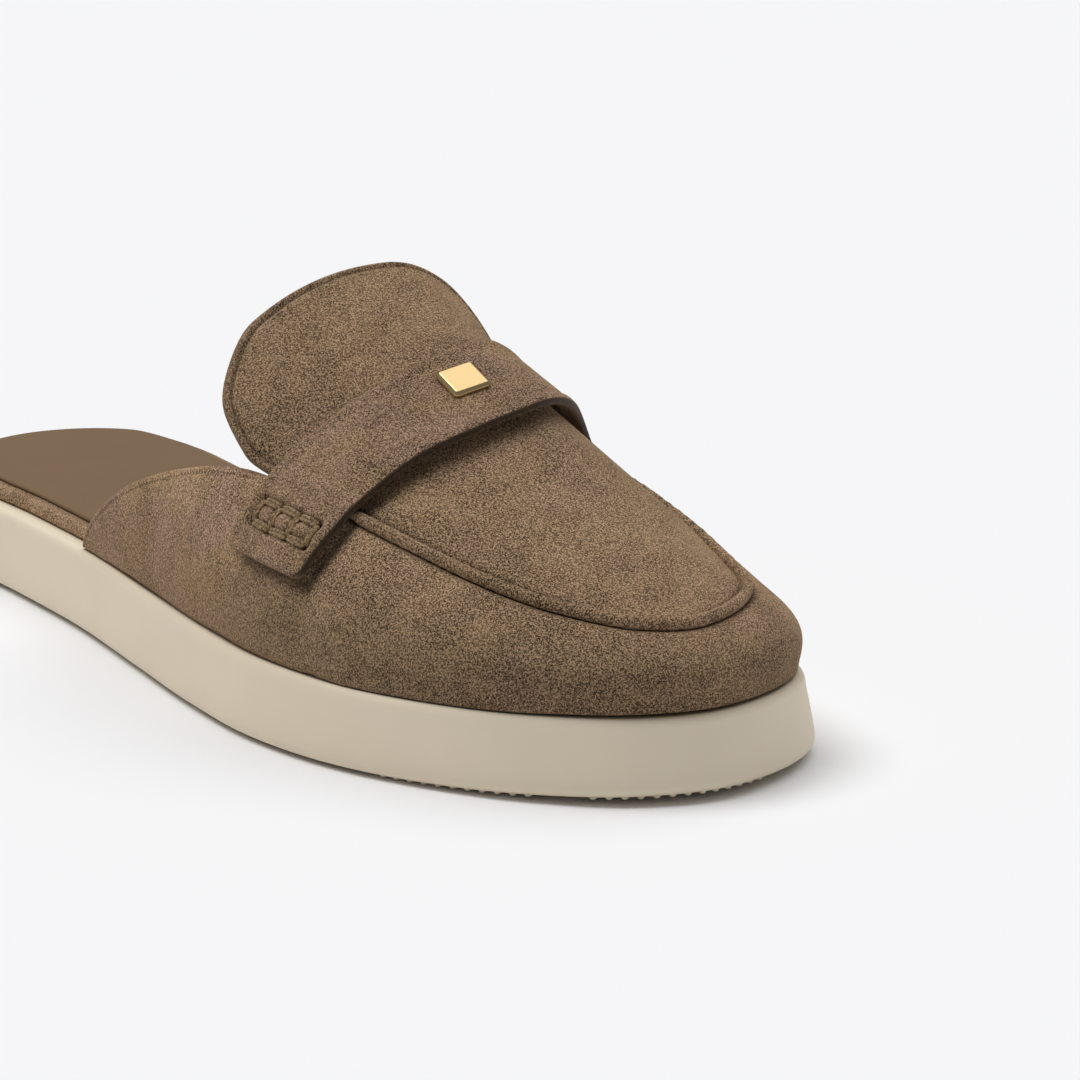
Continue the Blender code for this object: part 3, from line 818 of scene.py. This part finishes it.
SOCK_BASE = SEAT_GAP + BED_HEIGHT + 0.05
SOCK_EDGE = ((10.0, 0.0), (8.3, 0.0), (8.05, 0.25), (8.0, 0.6), (8.1, 0.9), (8.35, 1.05))
SOCK_THICKNESS = 1.15
SOCK_TOP_INSETS = (9.0, 10.5, 14.0)
SOCK_CUTS = 24
HEEL_CUP = (38.0, 52.0, 30.0, 0.5)


def sock_height(rise):
    """Height function of a ring of the sock, which sinks softly under the heel."""
    station, reach_x, reach_y, depth = HEEL_CUP

    def height(x, y):
        hollow = np.exp(-(((x - station) / reach_x) ** 2) - (y / reach_y) ** 2)
        return sole_top(x) + SOCK_BASE + rise - depth * min(rise, 1.0) * hollow

    return height


def build_insole(finish):
    """Leather sock with a thin cut edge, slightly hollowed under the heel."""
    levels = [(inset, sock_height(rise)) for inset, rise in SOCK_EDGE]
    levels += [(inset, sock_height(SOCK_THICKNESS)) for inset in SOCK_TOP_INSETS]
    return piece("sock", stacked_mesh(levels, BED_COUNT, SOCK_CUTS), finish, "insole_leather", "insole")


# Upper
TOPLINE_FINE = (0.0, 0.07, 0.2, 0.4, 0.65, 0.95, 1.25, 1.5, 1.75, 2.05, 2.5, 3.1)
TOPLINE_COLUMNS = 520
TOPLINE_CROWDING = 1.5
TOPLINE_GROOVE_DEPTH = 0.14
TOPLINE_GROOVE_WIDTH = 0.35
WALL_STEP = 1.0
WALL_REACH = 29.0
LOW_WALL = 12.0
WALL_EDGE_RADIUS = 1.0
WALL_FOOT_RADIUS = 0.35
LINING_REACH = 1.5
RELIEF_REACH = 6.0
FAR = 99.0

# Soft creases and swells of the upper: start station and place, end station and place, height, width
RELIEF = (
    (150.0, 0.55, 182.0, 0.35, -0.35, 7.0),
    (186.0, 0.75, 206.0, 0.35, -0.30, 5.0),
    (196.0, 0.30, 222.0, 0.45, 0.30, 9.0),
    (112.0, 0.50, 140.0, 0.40, -0.30, 8.0),
    (188.0, 1.30, 192.0, 1.80, -0.35, 4.5),
    (200.0, 1.45, 203.0, 2.10, -0.25, 5.0),
    (192.0, 2.60, 214.0, 2.40, -0.20, 6.0),
    (186.0, 3.60, 214.0, 3.50, -0.35, 7.0),
)


def relief(points):
    """Height of the upper's soft creases and swells at each point."""
    total = np.zeros(points.shape[:-1])
    for x0, c0, x1, c1, height, width in RELIEF:
        t = np.linspace(0, 1, 9)
        line = section_point(x0 + (x1 - x0) * t, c0 + (c1 - c0) * t)
        total += height * np.exp(-((distance_to_line(points, line) / width) ** 2))
    return total


STRAP_PRESS = 0.4
STRAP_PRESS_WIDTH = 1.05
STRAP_RIM_POINTS = 41
# How deep the crease under the seam roll sinks the wall, and how much painted shade it gets
CREASE_AND_SHADE_SHARE = 0.6
CREASE_PLACE = 0.3
CREASE_WIDTH = 0.6


def strap_press(points):
    """How strongly the strap's edge presses into the upper at each point."""
    t = np.linspace(0, 1, STRAP_RIM_POINTS)
    low, high = np.zeros_like(t), np.ones_like(t)
    gap = np.full(points.shape[:-1], FAR)
    for along, a in ((low, t), (high, t), (t, high), (t, low)):
        gap = np.minimum(gap, distance_to_line(points, strap_surface(along, a, 0.0)))
    return bump_line(gap, 0.0, STRAP_PRESS_WIDTH)


def wall_sheet():
    """Outer face of the wall from the feather up, with its foot, its crest and its stations."""
    lateral, medial = RIM.shares_at(QUARTER_END, QUARTER_END)
    share = lateral + (medial - lateral) * edge_spacing(TOPLINE_COLUMNS, TOPLINE_CROWDING)
    station = RIM.at(share, FEATHER_INSET)[:, 0]
    reach = np.clip(topline_share(station), 0.001, 1.0)
    crest, foot = wall_point(share, reach), wall_point(share, np.zeros_like(share))
    height = np.linalg.norm(crest - foot, axis=1)
    steps = steps_near(TOPLINE_FINE, WALL_STEP, WALL_REACH)[::-1, None]
    fine_end = TOPLINE_FINE[-1]
    narrow = np.clip(height / LOW_WALL, 0.0, 1.0)
    beyond = (steps - fine_end) / (WALL_REACH - fine_end)
    coarse = fine_end * narrow + beyond * (height - fine_end * narrow)
    distance = np.where(steps <= fine_end, steps * narrow, coarse)
    v = reach * (1 - distance / np.maximum(height, 1e-6))
    return wall_point(np.broadcast_to(share, v.shape), np.clip(v, 0, 1)), foot, crest, station


def build_upper(finish):
    """Vamp wall and quarters as one hollow wall with rounded edges and a stitched topline."""
    outer, foot, crest, station = wall_sheet()
    normals, edge = sheet_normals(outer), distance_to_line(outer, crest)
    quarter = np.clip((THROAT - 12.0 - station) / 6.0, 0, 1)
    front = np.clip((station - THROAT - 5.0) / 4.0, 0, 1)
    crease_and_shade = CREASE_AND_SHADE_SHARE * bump_line(edge, CREASE_PLACE, CREASE_WIDTH) * front
    # The press mark sinks the wall at the strap's edge and in the crease, and carries painted shade there
    press = np.maximum(strap_press(outer), crease_and_shade)
    groove = TOPLINE_GROOVE_DEPTH * bump_line(edge, STITCH_LINE, TOPLINE_GROOVE_WIDTH) * quarter
    lift = relief(outer) * np.clip(edge / RELIEF_REACH, 0, 1) - groove - STRAP_PRESS * press
    outer = outer + normals * lift[..., None]
    low = np.linalg.norm(outer - foot, axis=2)
    half = WALL / 2 * np.minimum(edge_fade(edge, WALL_EDGE_RADIUS), edge_fade(low, WALL_FOOT_RADIUS))
    marks = wall_marks(edge, quarter=quarter, press=press, line=edge, run=run_along(crest))
    mesh = sheet_mesh(shell_sheet(outer - normals * WALL / 2, normals, half), marks)
    return piece("upper_wall", mesh, finish, "upper_suede", "upper")


# Apron and its rolled seam
APRON_ROWS = 170
APRON_COLUMNS = 120
APRON_WALL = 1.6
APRON_CROWDING = 1.6
APRON_TUCK = 0.25
APRON_TUCK_REACH = 1.2
APRON_RELIEF_REACH = 5.0
APRON_STOP = 0.985
GROOVE_PLACE = 1.95
GROOVE_WIDTH = 0.6
GROOVE_DEPTH = 0.45
GROOVE_SHADE = 0.6


def seam_pair(run):
    """Shares of the opposite seam points at a run from the throat to the toe."""
    lateral, medial = RIM.shares_at(THROAT, THROAT)
    return lateral + (RIM.toe_share - lateral) * run, medial + (RIM.toe_share - medial) * run


def build_apron(finish):
    """Top of the vamp inside the moc seam, with a soft groove behind the roll."""
    run = 1 - (1 - np.linspace(0, 1, APRON_ROWS)) ** APRON_CROWDING
    near, far = seam_pair(run[run < APRON_STOP])
    near, far = wall_point(near, np.ones_like(near)), wall_point(far, np.ones_like(far))
    seam = np.vstack([near, far[::-1]])
    w = 0.5 - 0.5 * np.cos(np.pi * np.linspace(0, 1, APRON_COLUMNS))
    near, far = [np.repeat(side[:, None], len(w), axis=1) for side in (near, far)]
    sheet = apron_point(near, far, np.repeat(w[None], len(near), axis=0))
    edge = distance_to_line(sheet, seam)
    groove = bump_line(edge, GROOVE_PLACE, GROOVE_WIDTH)
    lift = relief(sheet) * np.clip(edge / APRON_RELIEF_REACH, 0, 1) - GROOVE_DEPTH * groove
    lift -= APRON_TUCK * np.clip(1 - edge / APRON_TUCK_REACH, 0, 1)
    normals = -sheet_normals(sheet)
    outer = sheet + normals * lift[..., None]
    zero = np.zeros(edge.shape)
    marks = {
        "lined": fold_columns(zero, zero + 1),
        # Painted shade at the strap's edge and in the groove behind the roll
        "press": fold_columns(np.maximum(strap_press(sheet), GROOVE_SHADE * groove), zero),
    }
    mesh = sheet_mesh(fold_columns(outer, outer - normals * APRON_WALL), marks)
    close_open_edges(mesh)
    return piece("apron", mesh, finish, "upper_suede", "upper")


def fold_columns(outer, inner):
    """Two faces as one sheet, folded over at its last column."""
    return np.concatenate([outer, inner[:, ::-1]], axis=1)


def close_open_edges(mesh):
    """Sew the open borders of a folded sheet shut."""
    borders = [edge for edge in mesh.edges if edge.is_boundary]
    if borders:
        bmesh.ops.holes_fill(mesh, edges=borders, sides=0)


ROLL_SIDES = 18
ROLL_COLUMNS = 640
ROLL_STARTS = (181.0, 163.0)
ROLL_INSET = 0.6
ROLL_HALF_WIDTH = 1.0
ROLL_LIFT = 0.6
ROLL_HALF_HEIGHT = 1.2
ROLL_PUCKER = 0.05
ROLL_PUCKER_PITCHES = (3.1, 23.0)
ROLL_TAPER = 5.0


def build_seam_roll(finish):
    """Rolled moc seam: a soft half round that follows the seam from strap to strap round the toe."""
    share = np.linspace(*RIM.shares_at(*ROLL_STARTS), ROLL_COLUMNS)
    seam = wall_point(share, np.ones_like(share))
    inward = np.c_[RIM.inward(share), np.zeros(len(share))]
    run = run_along(seam)
    turns = [2 * np.pi * run / pitch for pitch in ROLL_PUCKER_PITCHES]
    taper = np.sqrt(np.clip(np.minimum(run, run[-1] - run) / ROLL_TAPER, 0, 1))
    size = taper * (1 + ROLL_PUCKER * np.sin(turns[0]) * np.sin(turns[1] + 1.0))
    angle = np.linspace(0, 2 * np.pi, ROLL_SIDES + 1)
    centre = seam + inward * ROLL_INSET + np.array([0, 0, ROLL_LIFT])
    side = inward[None] * (ROLL_HALF_WIDTH * np.cos(angle))[:, None, None]
    up = np.array([0, 0, 1.0]) * (ROLL_HALF_HEIGHT * np.sin(angle))[:, None, None]
    sheet = centre[None] + (side + up) * size[None, :, None]
    return piece("seam_roll", sheet_mesh(sheet), finish, "upper_suede")


# Tongue
TONGUE_STEPS = 16
TONGUE_COLUMNS = 110
TONGUE_EDGE_RADIUS = 1.15
TONGUE_GROOVE = 1.75
TONGUE_GROOVE_DEPTH = 0.45
TONGUE_GROOVE_WIDTH = 0.45
TONGUE_GROOVE_SHADE = 0.6
TONGUE_CROWDING = 1.35
TONGUE_BLUR = 5
TONGUE_PAINT = 0.75
TONGUE_PAINT_REACH = 0.9
TONGUE_RELIEF = 0.5
TONGUE_PRESS = 0.7


def tongue_row(row, w):
    """One arched row across the tongue; w runs from the lateral to the medial edge."""
    edge_x, low, high, edge_z, ridge_x, ridge_y, ridge_z = row
    y = low + (high - low) * w
    flank = np.where(y < ridge_y, (ridge_y - y) / (ridge_y - low), (y - ridge_y) / (high - ridge_y))
    x = edge_x + (ridge_x - edge_x) * (1 - flank**2)
    z = edge_z + (ridge_z - edge_z) * (1 - flank**TONGUE_ROUNDNESS)
    return np.c_[x, y, z]


def rounded_corners(sheet, place, w):
    """Draw the ends of the last rows in along a quarter circle."""
    run = np.clip((place - TONGUE_CORNER_START) / (1 - TONGUE_CORNER_START), 0, 1)
    rounded = []
    for row, tuck in zip(sheet, TONGUE_CORNER_SHARE * (1 - np.sqrt(1 - run**2))):
        share = tuck + (1 - 2 * tuck) * w
        rounded.append(np.stack([np.interp(share, w, row[:, k]) for k in range(3)], axis=-1))
    return np.array(rounded)


def build_tongue(finish):
    """Wide tongue with a bound edge and a stitched groove inside it."""
    w = edge_spacing(TONGUE_COLUMNS)
    across = 1 + 2 * (TONGUE_TUCK + (1 - 2 * TONGUE_TUCK) * w)
    keys = [section_point(x, across) for x in TONGUE_ROOT]
    keys += [tongue_row(row, w) for row in TONGUE]
    last = len(keys) - 1
    place = last * (1 - (1 - np.linspace(0, 1, TONGUE_STEPS * last)) ** TONGUE_CROWDING)
    sheet = smooth_rows(np.arange(last + 1), np.array(keys), place)
    sheet = rounded_corners(blurred(sheet, TONGUE_BLUR, 0), place / last, w)
    normals = sheet_normals(sheet)
    root = int(np.searchsorted(place, 1.0))
    border = np.vstack([sheet[root:, 0], sheet[-1], sheet[root:, -1][::-1]])
    edge = distance_to_line(sheet, border)
    lift = 0.12 * bump_line(edge, TONGUE_GROOVE - 1.1, 0.6) + 0.1 * bump_line(edge, TONGUE_GROOVE + 1.4, 0.9)
    lift -= TONGUE_GROOVE_DEPTH * bump_line(edge, TONGUE_GROOVE, TONGUE_GROOVE_WIDTH)
    # Where the strap presses, the tongue sinks and carries painted shade
    press = strap_press(sheet)
    lift += relief(sheet) * TONGUE_RELIEF - press * TONGUE_PRESS
    half = TONGUE_WALL / 2 * edge_fade(edge, TONGUE_EDGE_RADIUS)
    middle = sheet + normals * (lift - TONGUE_WALL / 2)[..., None]
    paint = TONGUE_PAINT * np.clip(1 - edge / TONGUE_PAINT_REACH, 0, 1)
    # Painted shade along the tongue's stitched groove
    marks = wall_marks(edge, press=press, hole=TONGUE_GROOVE_SHADE * bump_line(edge, TONGUE_GROOVE, 0.26))
    marks["paint"] = both_sides(paint, paint)
    mesh = sheet_mesh(shell_sheet(middle, normals, half), marks)
    close_open_edges(mesh)
    return piece("tongue_flap", mesh, finish, "upper_suede", "tongue")


# Strap
STRAP_ROWS = 330
STRAP_COLUMNS = 78
STRAP_EDGE_RADIUS = 0.85
STRAP_EDGE_THICKNESS = 1.5
STRAP_SKIVE = 4.0
STRAP_CORNER = 2.4
STRAP_RUN = 112.0
BOX_STATIONS = ((163.8, 169.3, 174.8, 180.2), (156.0, 159.2, 162.4, 165.6))
BOX_PLACES = ((0.758, 0.883), (3.212, 3.085))
STRAP_ROW_CROWDING = 1.35
STRAP_COLUMN_CROWDING = 1.45
STRAP_ROW_BLUR = 6
STRAP_COLUMN_BLUR = 2
STRAP_TOP = STRAP_CLEARANCE + STRAP_THICKNESS
THREAD_RADIUS = 0.42
THREAD_SPREAD = 0.36
THREAD_TWIST = 0.06
THREAD_DEPTH = 0.75
THREAD_ARCH = 0.72
CHANNEL_DEPTH = 0.7
CHANNEL_LEAST = -0.4
CHANNEL_WIDTHS = (0.85, 0.95)
CHANNEL_BANK = (0.12, 2.1, 1.0)
KNOT_DEPTH = 0.45
KNOT_WIDTHS = (0.55, 0.5)


def strap_bends():
    """Places across the upper where the strap ends and bends, from its lateral to its medial end."""
    heights = np.linspace(0, 1, 60)
    middle = (STRAP[0][1] + STRAP[0][2]) / 2
    lateral = np.interp(STRAP_END_HEIGHT, section_point(middle, heights)[:, 2], heights)
    medial = np.interp(STRAP_END_HEIGHT, section_point(middle, 4 - heights)[:, 2], heights)
    return lateral, 1.0, 3.0, 4 - medial


def strap_surface(along, a, offset):
    """Strap surface at shares along it and across it, at an offset from the upper."""
    c = np.interp(along, STRAP_BEND, strap_bends())
    edges = table_rows(STRAP, along)
    x = edges[..., 0] + (edges[..., 1] - edges[..., 0]) * a
    lift = STRAP_LIFT * a**2 * np.sin(np.pi * along) ** 2
    return section_point(x, c) + section_normal(x, c) * (offset + lift)[..., None]


def strap_share(place):
    """Share along the strap at a place across the upper."""
    return np.interp(place, strap_bends(), STRAP_BEND)


def box_knots():
    """Needle holes of the stitched boxes on the strap's ends, as rails of shares along and across it."""
    boxes = []
    for stations, places in zip(BOX_STATIONS, BOX_PLACES):
        rails = []
        for place in places:
            along = np.full(len(stations), strap_share(place))
            edges = table_rows(STRAP, along)
            a = (np.array(stations) - edges[:, 0]) / (edges[:, 1] - edges[:, 0])
            rails.append((along, a))
        boxes.append(rails)
    return boxes


def strap_sheet(along, a):
    """Top face of the strap, with rounded corners and evened out where it bends."""
    near_end = np.clip(1 - STRAP_RUN * np.minimum(along, 1 - along) / STRAP_CORNER, 0, 1)
    tuck = STRAP_CORNER / (STRAP[0][2] - STRAP[0][1]) * (1 - np.sqrt(1 - near_end**2))
    sheet = strap_surface(along, tuck + (1 - 2 * tuck) * a, STRAP_TOP)
    return blurred(blurred(sheet, STRAP_ROW_BLUR, 0), STRAP_COLUMN_BLUR, 1)


def stitch_dents(sheet):
    """What the stitched boxes do to the strap: lift of its face, and painted shade in its needle holes and
    channels.
    """
    lift, hole, channel_shade = np.zeros((3, *sheet.shape[:2]))
    bank, place, width = CHANNEL_BANK
    for rails in box_knots():
        lines, knots = box_lines(sheet, rails)
        for line in lines:
            gap = distance_to_line(sheet, line)
            lift -= CHANNEL_DEPTH * bump_line(gap, 0.0, CHANNEL_WIDTHS[0]) * (lift > CHANNEL_LEAST)
            lift += bank * bump_line(gap, place, width)
            channel_shade = np.maximum(channel_shade, np.exp(-((gap / CHANNEL_WIDTHS[1]) ** 4)))
        for knot in knots:
            gap = np.linalg.norm(sheet - knot, axis=2)
            lift -= KNOT_DEPTH * bump_line(gap, 0.0, KNOT_WIDTHS[0])
            hole = np.maximum(hole, np.exp(-((gap / KNOT_WIDTHS[1]) ** 4)))
    return lift, hole, channel_shade


def build_strap(finish):
    """Saddle strap with rounded edges and boxes pressed into its ends; give its top face and normals."""
    along = np.repeat(edge_spacing(STRAP_ROWS, STRAP_ROW_CROWDING)[:, None], STRAP_COLUMNS, axis=1)
    a = np.repeat(edge_spacing(STRAP_COLUMNS, STRAP_COLUMN_CROWDING)[None], STRAP_ROWS, axis=0)
    sheet = strap_sheet(along, a)
    normals = sheet_normals(sheet)
    border = np.vstack([sheet[0], sheet[:, -1], sheet[-1, ::-1], sheet[::-1, 0]])
    edge = distance_to_line(sheet, border)
    lift, hole, channel_shade = stitch_dents(sheet)
    lift += 0.18 * bump_line(edge, 1.6, 0.9) - 0.10 * bump_line(edge, 3.2, 0.8)
    deep = np.clip(edge / STRAP_SKIVE, 0, 1)
    wall = STRAP_EDGE_THICKNESS + (STRAP_THICKNESS - STRAP_EDGE_THICKNESS) * deep * deep * (3 - 2 * deep)
    half = wall / 2 * edge_fade(edge, STRAP_EDGE_RADIUS, 2.6)
    middle = sheet + normals * (lift - wall / 2)[..., None]
    front = np.clip((a - 0.9) / 0.08, 0, 1) * np.clip(np.minimum(along, 1 - along) / 0.02, 0, 1)
    paint = np.clip(1.8 - edge / 0.3, 0, 1) * front
    # Painted shade in the stitch channels and a painted shadow line along the strap's edges
    press = np.maximum(0.75 * channel_shade, 0.7 * bump_line(edge, 0.0, 0.4))
    marks = wall_marks(edge, hole=hole, press=press)
    marks["paint"] = both_sides(paint, front)
    mesh = sheet_mesh(shell_sheet(middle, normals, half), marks)
    piece("saddle_strap", mesh, finish, "strap_suede", "strap")
    return sheet, normals


def box_lines(sheet, rails):
    """The rails and rungs of one stitched box as short lines on the sheet, and its needle holes."""
    low, high = [sheet_spots(sheet, *rail) for rail in rails]
    lines = [np.array(pair) for rail in (low, high) for pair in zip(rail[:-1], rail[1:])]
    lines += [np.array(pair) for pair in zip(low, high)]
    return lines, np.vstack([low, high])


def sheet_spots(sheet, along, a):
    """Points of the strap's dense sheet nearest to shares along and across it."""
    flat = sheet.reshape(-1, 3)
    wanted = strap_surface(along, a, STRAP_TOP)
    return np.array([flat[np.argmin(np.linalg.norm(flat - spot, axis=1))] for spot in wanted])


def build_stitches(finish, sheet, normals):
    """Doubled thread of the two stitched boxes: a pair of strands from each needle hole to the next."""
    flat, directions = sheet.reshape(-1, 3), normals.reshape(-1, 3)
    whole = bmesh.new()
    for rails in box_knots():
        lines, _ = box_lines(sheet, rails)
        for line in lines:
            up = directions[np.argmin(np.linalg.norm(flat - line.mean(axis=0), axis=1))]
            for side in (-1, 1):
                add_strand(whole, line[0], line[1], up, side)
    return piece("box_stitches", whole, finish, "strap_suede")


def add_strand(whole, start, end, up, side):
    """One strand of thread, arched between two needle holes."""
    across = unit(np.cross(end - start, up))
    t = np.linspace(0, 1, 15)
    arch = np.sin(np.pi * t) ** 0.55
    twist = THREAD_TWIST * np.sin(2 * np.pi * (3 * t + 0.5 * side))
    spread = side * THREAD_SPREAD * (0.35 + 0.65 * arch)
    path = start + (end - start) * t[:, None] + across * spread[:, None]
    path = path + up * (THREAD_ARCH * arch - THREAD_DEPTH + twist)[:, None]
    run = unit(np.gradient(path, axis=0))
    sideways = unit(np.cross(run, up))
    angle = np.linspace(0, 2 * np.pi, 11)[:, None, None]
    size = THREAD_RADIUS * (0.7 + 0.3 * arch)
    size[0] = size[-1] = 0.0
    ring = np.cos(angle) * sideways + np.sin(angle) * np.cross(sideways, run)
    strand = sheet_mesh(path[None] + ring * size[None, :, None])
    scratch = bpy.data.meshes.new("strand")
    strand.to_mesh(scratch)
    strand.free()
    whole.from_mesh(scratch)
    bpy.data.meshes.remove(scratch)


# Stud
STUD_STATION = 171.5
STUD_PLACE = 2.05
STUD_SIZE = 7.4
STUD_THICKNESS = 1.1
STUD_CORNER = 0.9
STUD_CHAMFER = 0.55
STUD_SOFT_EDGE = 0.12
STUD_SEAT = STRAP_TOP + 0.05 + STRAP_LIFT * 0.25


def build_stud(finish):
    """Plain square stud with a broad chamfer, seated on the strap."""
    x, c = np.array(STUD_STATION), np.array(STUD_PLACE)
    normal = section_normal(x, c)
    side = unit(section_point(x, c + 0.1) - section_point(x, c - 0.1))
    front = np.cross(side, normal)
    centre = Vector(section_point(x, c) + normal * (STUD_SEAT + STUD_THICKNESS / 2) - CENTRE)
    settings = {"profile": 0.5, "affect": "EDGES", "material": -1}
    mesh = bmesh.new()
    bmesh.ops.create_cube(mesh, size=1.0)
    bmesh.ops.scale(mesh, vec=(STUD_SIZE, STUD_SIZE, STUD_THICKNESS), verts=mesh.verts)
    upright = [edge for edge in mesh.edges if abs(edge.verts[0].co.z - edge.verts[1].co.z) > 0.5]
    bmesh.ops.bevel(mesh, geom=upright, offset=STUD_CORNER, segments=4, **settings)
    face = STUD_THICKNESS / 2 - 0.01
    top = [edge for edge in mesh.edges if min(vertex.co.z for vertex in edge.verts) > face]
    bmesh.ops.bevel(mesh, geom=top, offset=STUD_CHAMFER, segments=1, **settings)
    turn = Matrix(np.c_[side, front, normal].tolist())
    for vertex in mesh.verts:
        vertex.co = (turn @ vertex.co + centre) * MM
    stud = piece("plain_stud", mesh, finish, "stud_metal", "stud")
    edges = stud.modifiers.new("soft_edges", "BEVEL")
    edges.width = STUD_SOFT_EDGE * MM
    edges.segments = 3
    edges.limit_method = "ANGLE"
    stud.data.set_sharp_from_angle(angle=math.radians(30))


# Photographer's set
SHOT_AZIMUTH = 58.314
SHOT_ELEVATION = 13.773
SHOT_ROLL = -0.156
SHOT_DISTANCE = 1210.8
SHOT_AIM = (150.0, 0.0, 20.6)
SHOT_SCALE = 5.615
SHOT_PLACE = (402.42, 566.88)
FRAME_SIZE = 1080
SENSOR = 36.0


def build_camera():
    """Camera that keeps the photograph's angle, distance and framing."""
    turns = ((SHOT_AZIMUTH, "Z"), (90.0 - SHOT_ELEVATION, "X"), (SHOT_ROLL, "Z"))
    place = Matrix.Translation(np.array(SHOT_AIM) - CENTRE)
    for angle, axis in turns:
        place = place @ Matrix.Rotation(math.radians(angle), 4, axis)
    aside, down = [(spot - FRAME_SIZE / 2) / SHOT_SCALE for spot in SHOT_PLACE]
    place = place @ Matrix.Translation((-aside, down, SHOT_DISTANCE))
    place.translation *= MM
    lens = bpy.data.cameras.new("shot_camera")
    lens.sensor_width = SENSOR
    lens.lens = SHOT_SCALE * SHOT_DISTANCE * SENSOR / FRAME_SIZE
    lens.clip_start, lens.clip_end = 0.05, 50.0
    camera = add_object("shot_camera", lens)
    camera.matrix_world = place
    bpy.context.scene.camera = camera


FLOOR_COLOUR = (0.90, 0.90, 0.912)
ROOM_COLOUR = (0.985, 0.99, 1.0)
ROOM_STRENGTH = 0.22

# Suns: name, azimuth and elevation in degrees, strength, spread in degrees
SUNS = (
    ("overhead_softbox", 318.0, 66.0, 1.55, 33.0),
    ("rear_softbox", 200.0, 66.0, 1.22, 60.0),
)


def build_floor():
    """Plain pale floor."""
    mesh = bmesh.new()
    bmesh.ops.create_grid(mesh, x_segments=1, y_segments=1, size=8.0)
    finish = Finish("floor_paper")
    finish.shade(Base_Color=FLOOR_COLOUR, Roughness=1.0, Specular_IOR_Level=0.0)
    mesh_object("floor", mesh, finish.material)


def add_sun(name, azimuth, elevation, strength, softness):
    """A broad soft light from an azimuth and height, both in degrees."""
    light = bpy.data.lights.new(name, "SUN")
    light.energy = strength
    light.angle = math.radians(softness)
    turn = (math.radians(90 - elevation), 0.0, math.radians(azimuth))
    add_object(name, light).rotation_euler = turn


def build_lights():
    world = bpy.data.worlds.new("studio")
    world.use_nodes = True
    sky = world.node_tree.nodes["Background"]
    sky.inputs["Color"].default_value = (*ROOM_COLOUR, 1.0)
    sky.inputs["Strength"].default_value = ROOM_STRENGTH
    bpy.context.scene.world = world
    for sun in SUNS:
        add_sun(*sun)
    bpy.context.scene.view_settings.view_transform = "Standard"


def main():
    apron_suede = suede("apron_suede", level=0.83)
    rubber = cream_rubber()
    build_sole(rubber)
    build_tread(rubber)
    build_footbed(suede("footbed_suede", level=0.95))
    build_insole(sock_leather())
    build_upper(suede("upper_suede", level=1.09, low_shade_level=0.58))
    build_apron(apron_suede)
    build_seam_roll(apron_suede)
    build_tongue(suede("tongue_suede", level=0.81))
    sheet, normals = build_strap(suede("strap_suede", rose=0.3, level=0.77))
    build_stitches(stitch_thread(), sheet, normals)
    build_stud(pale_gold())
    build_floor()
    build_lights()
    build_camera()


main()
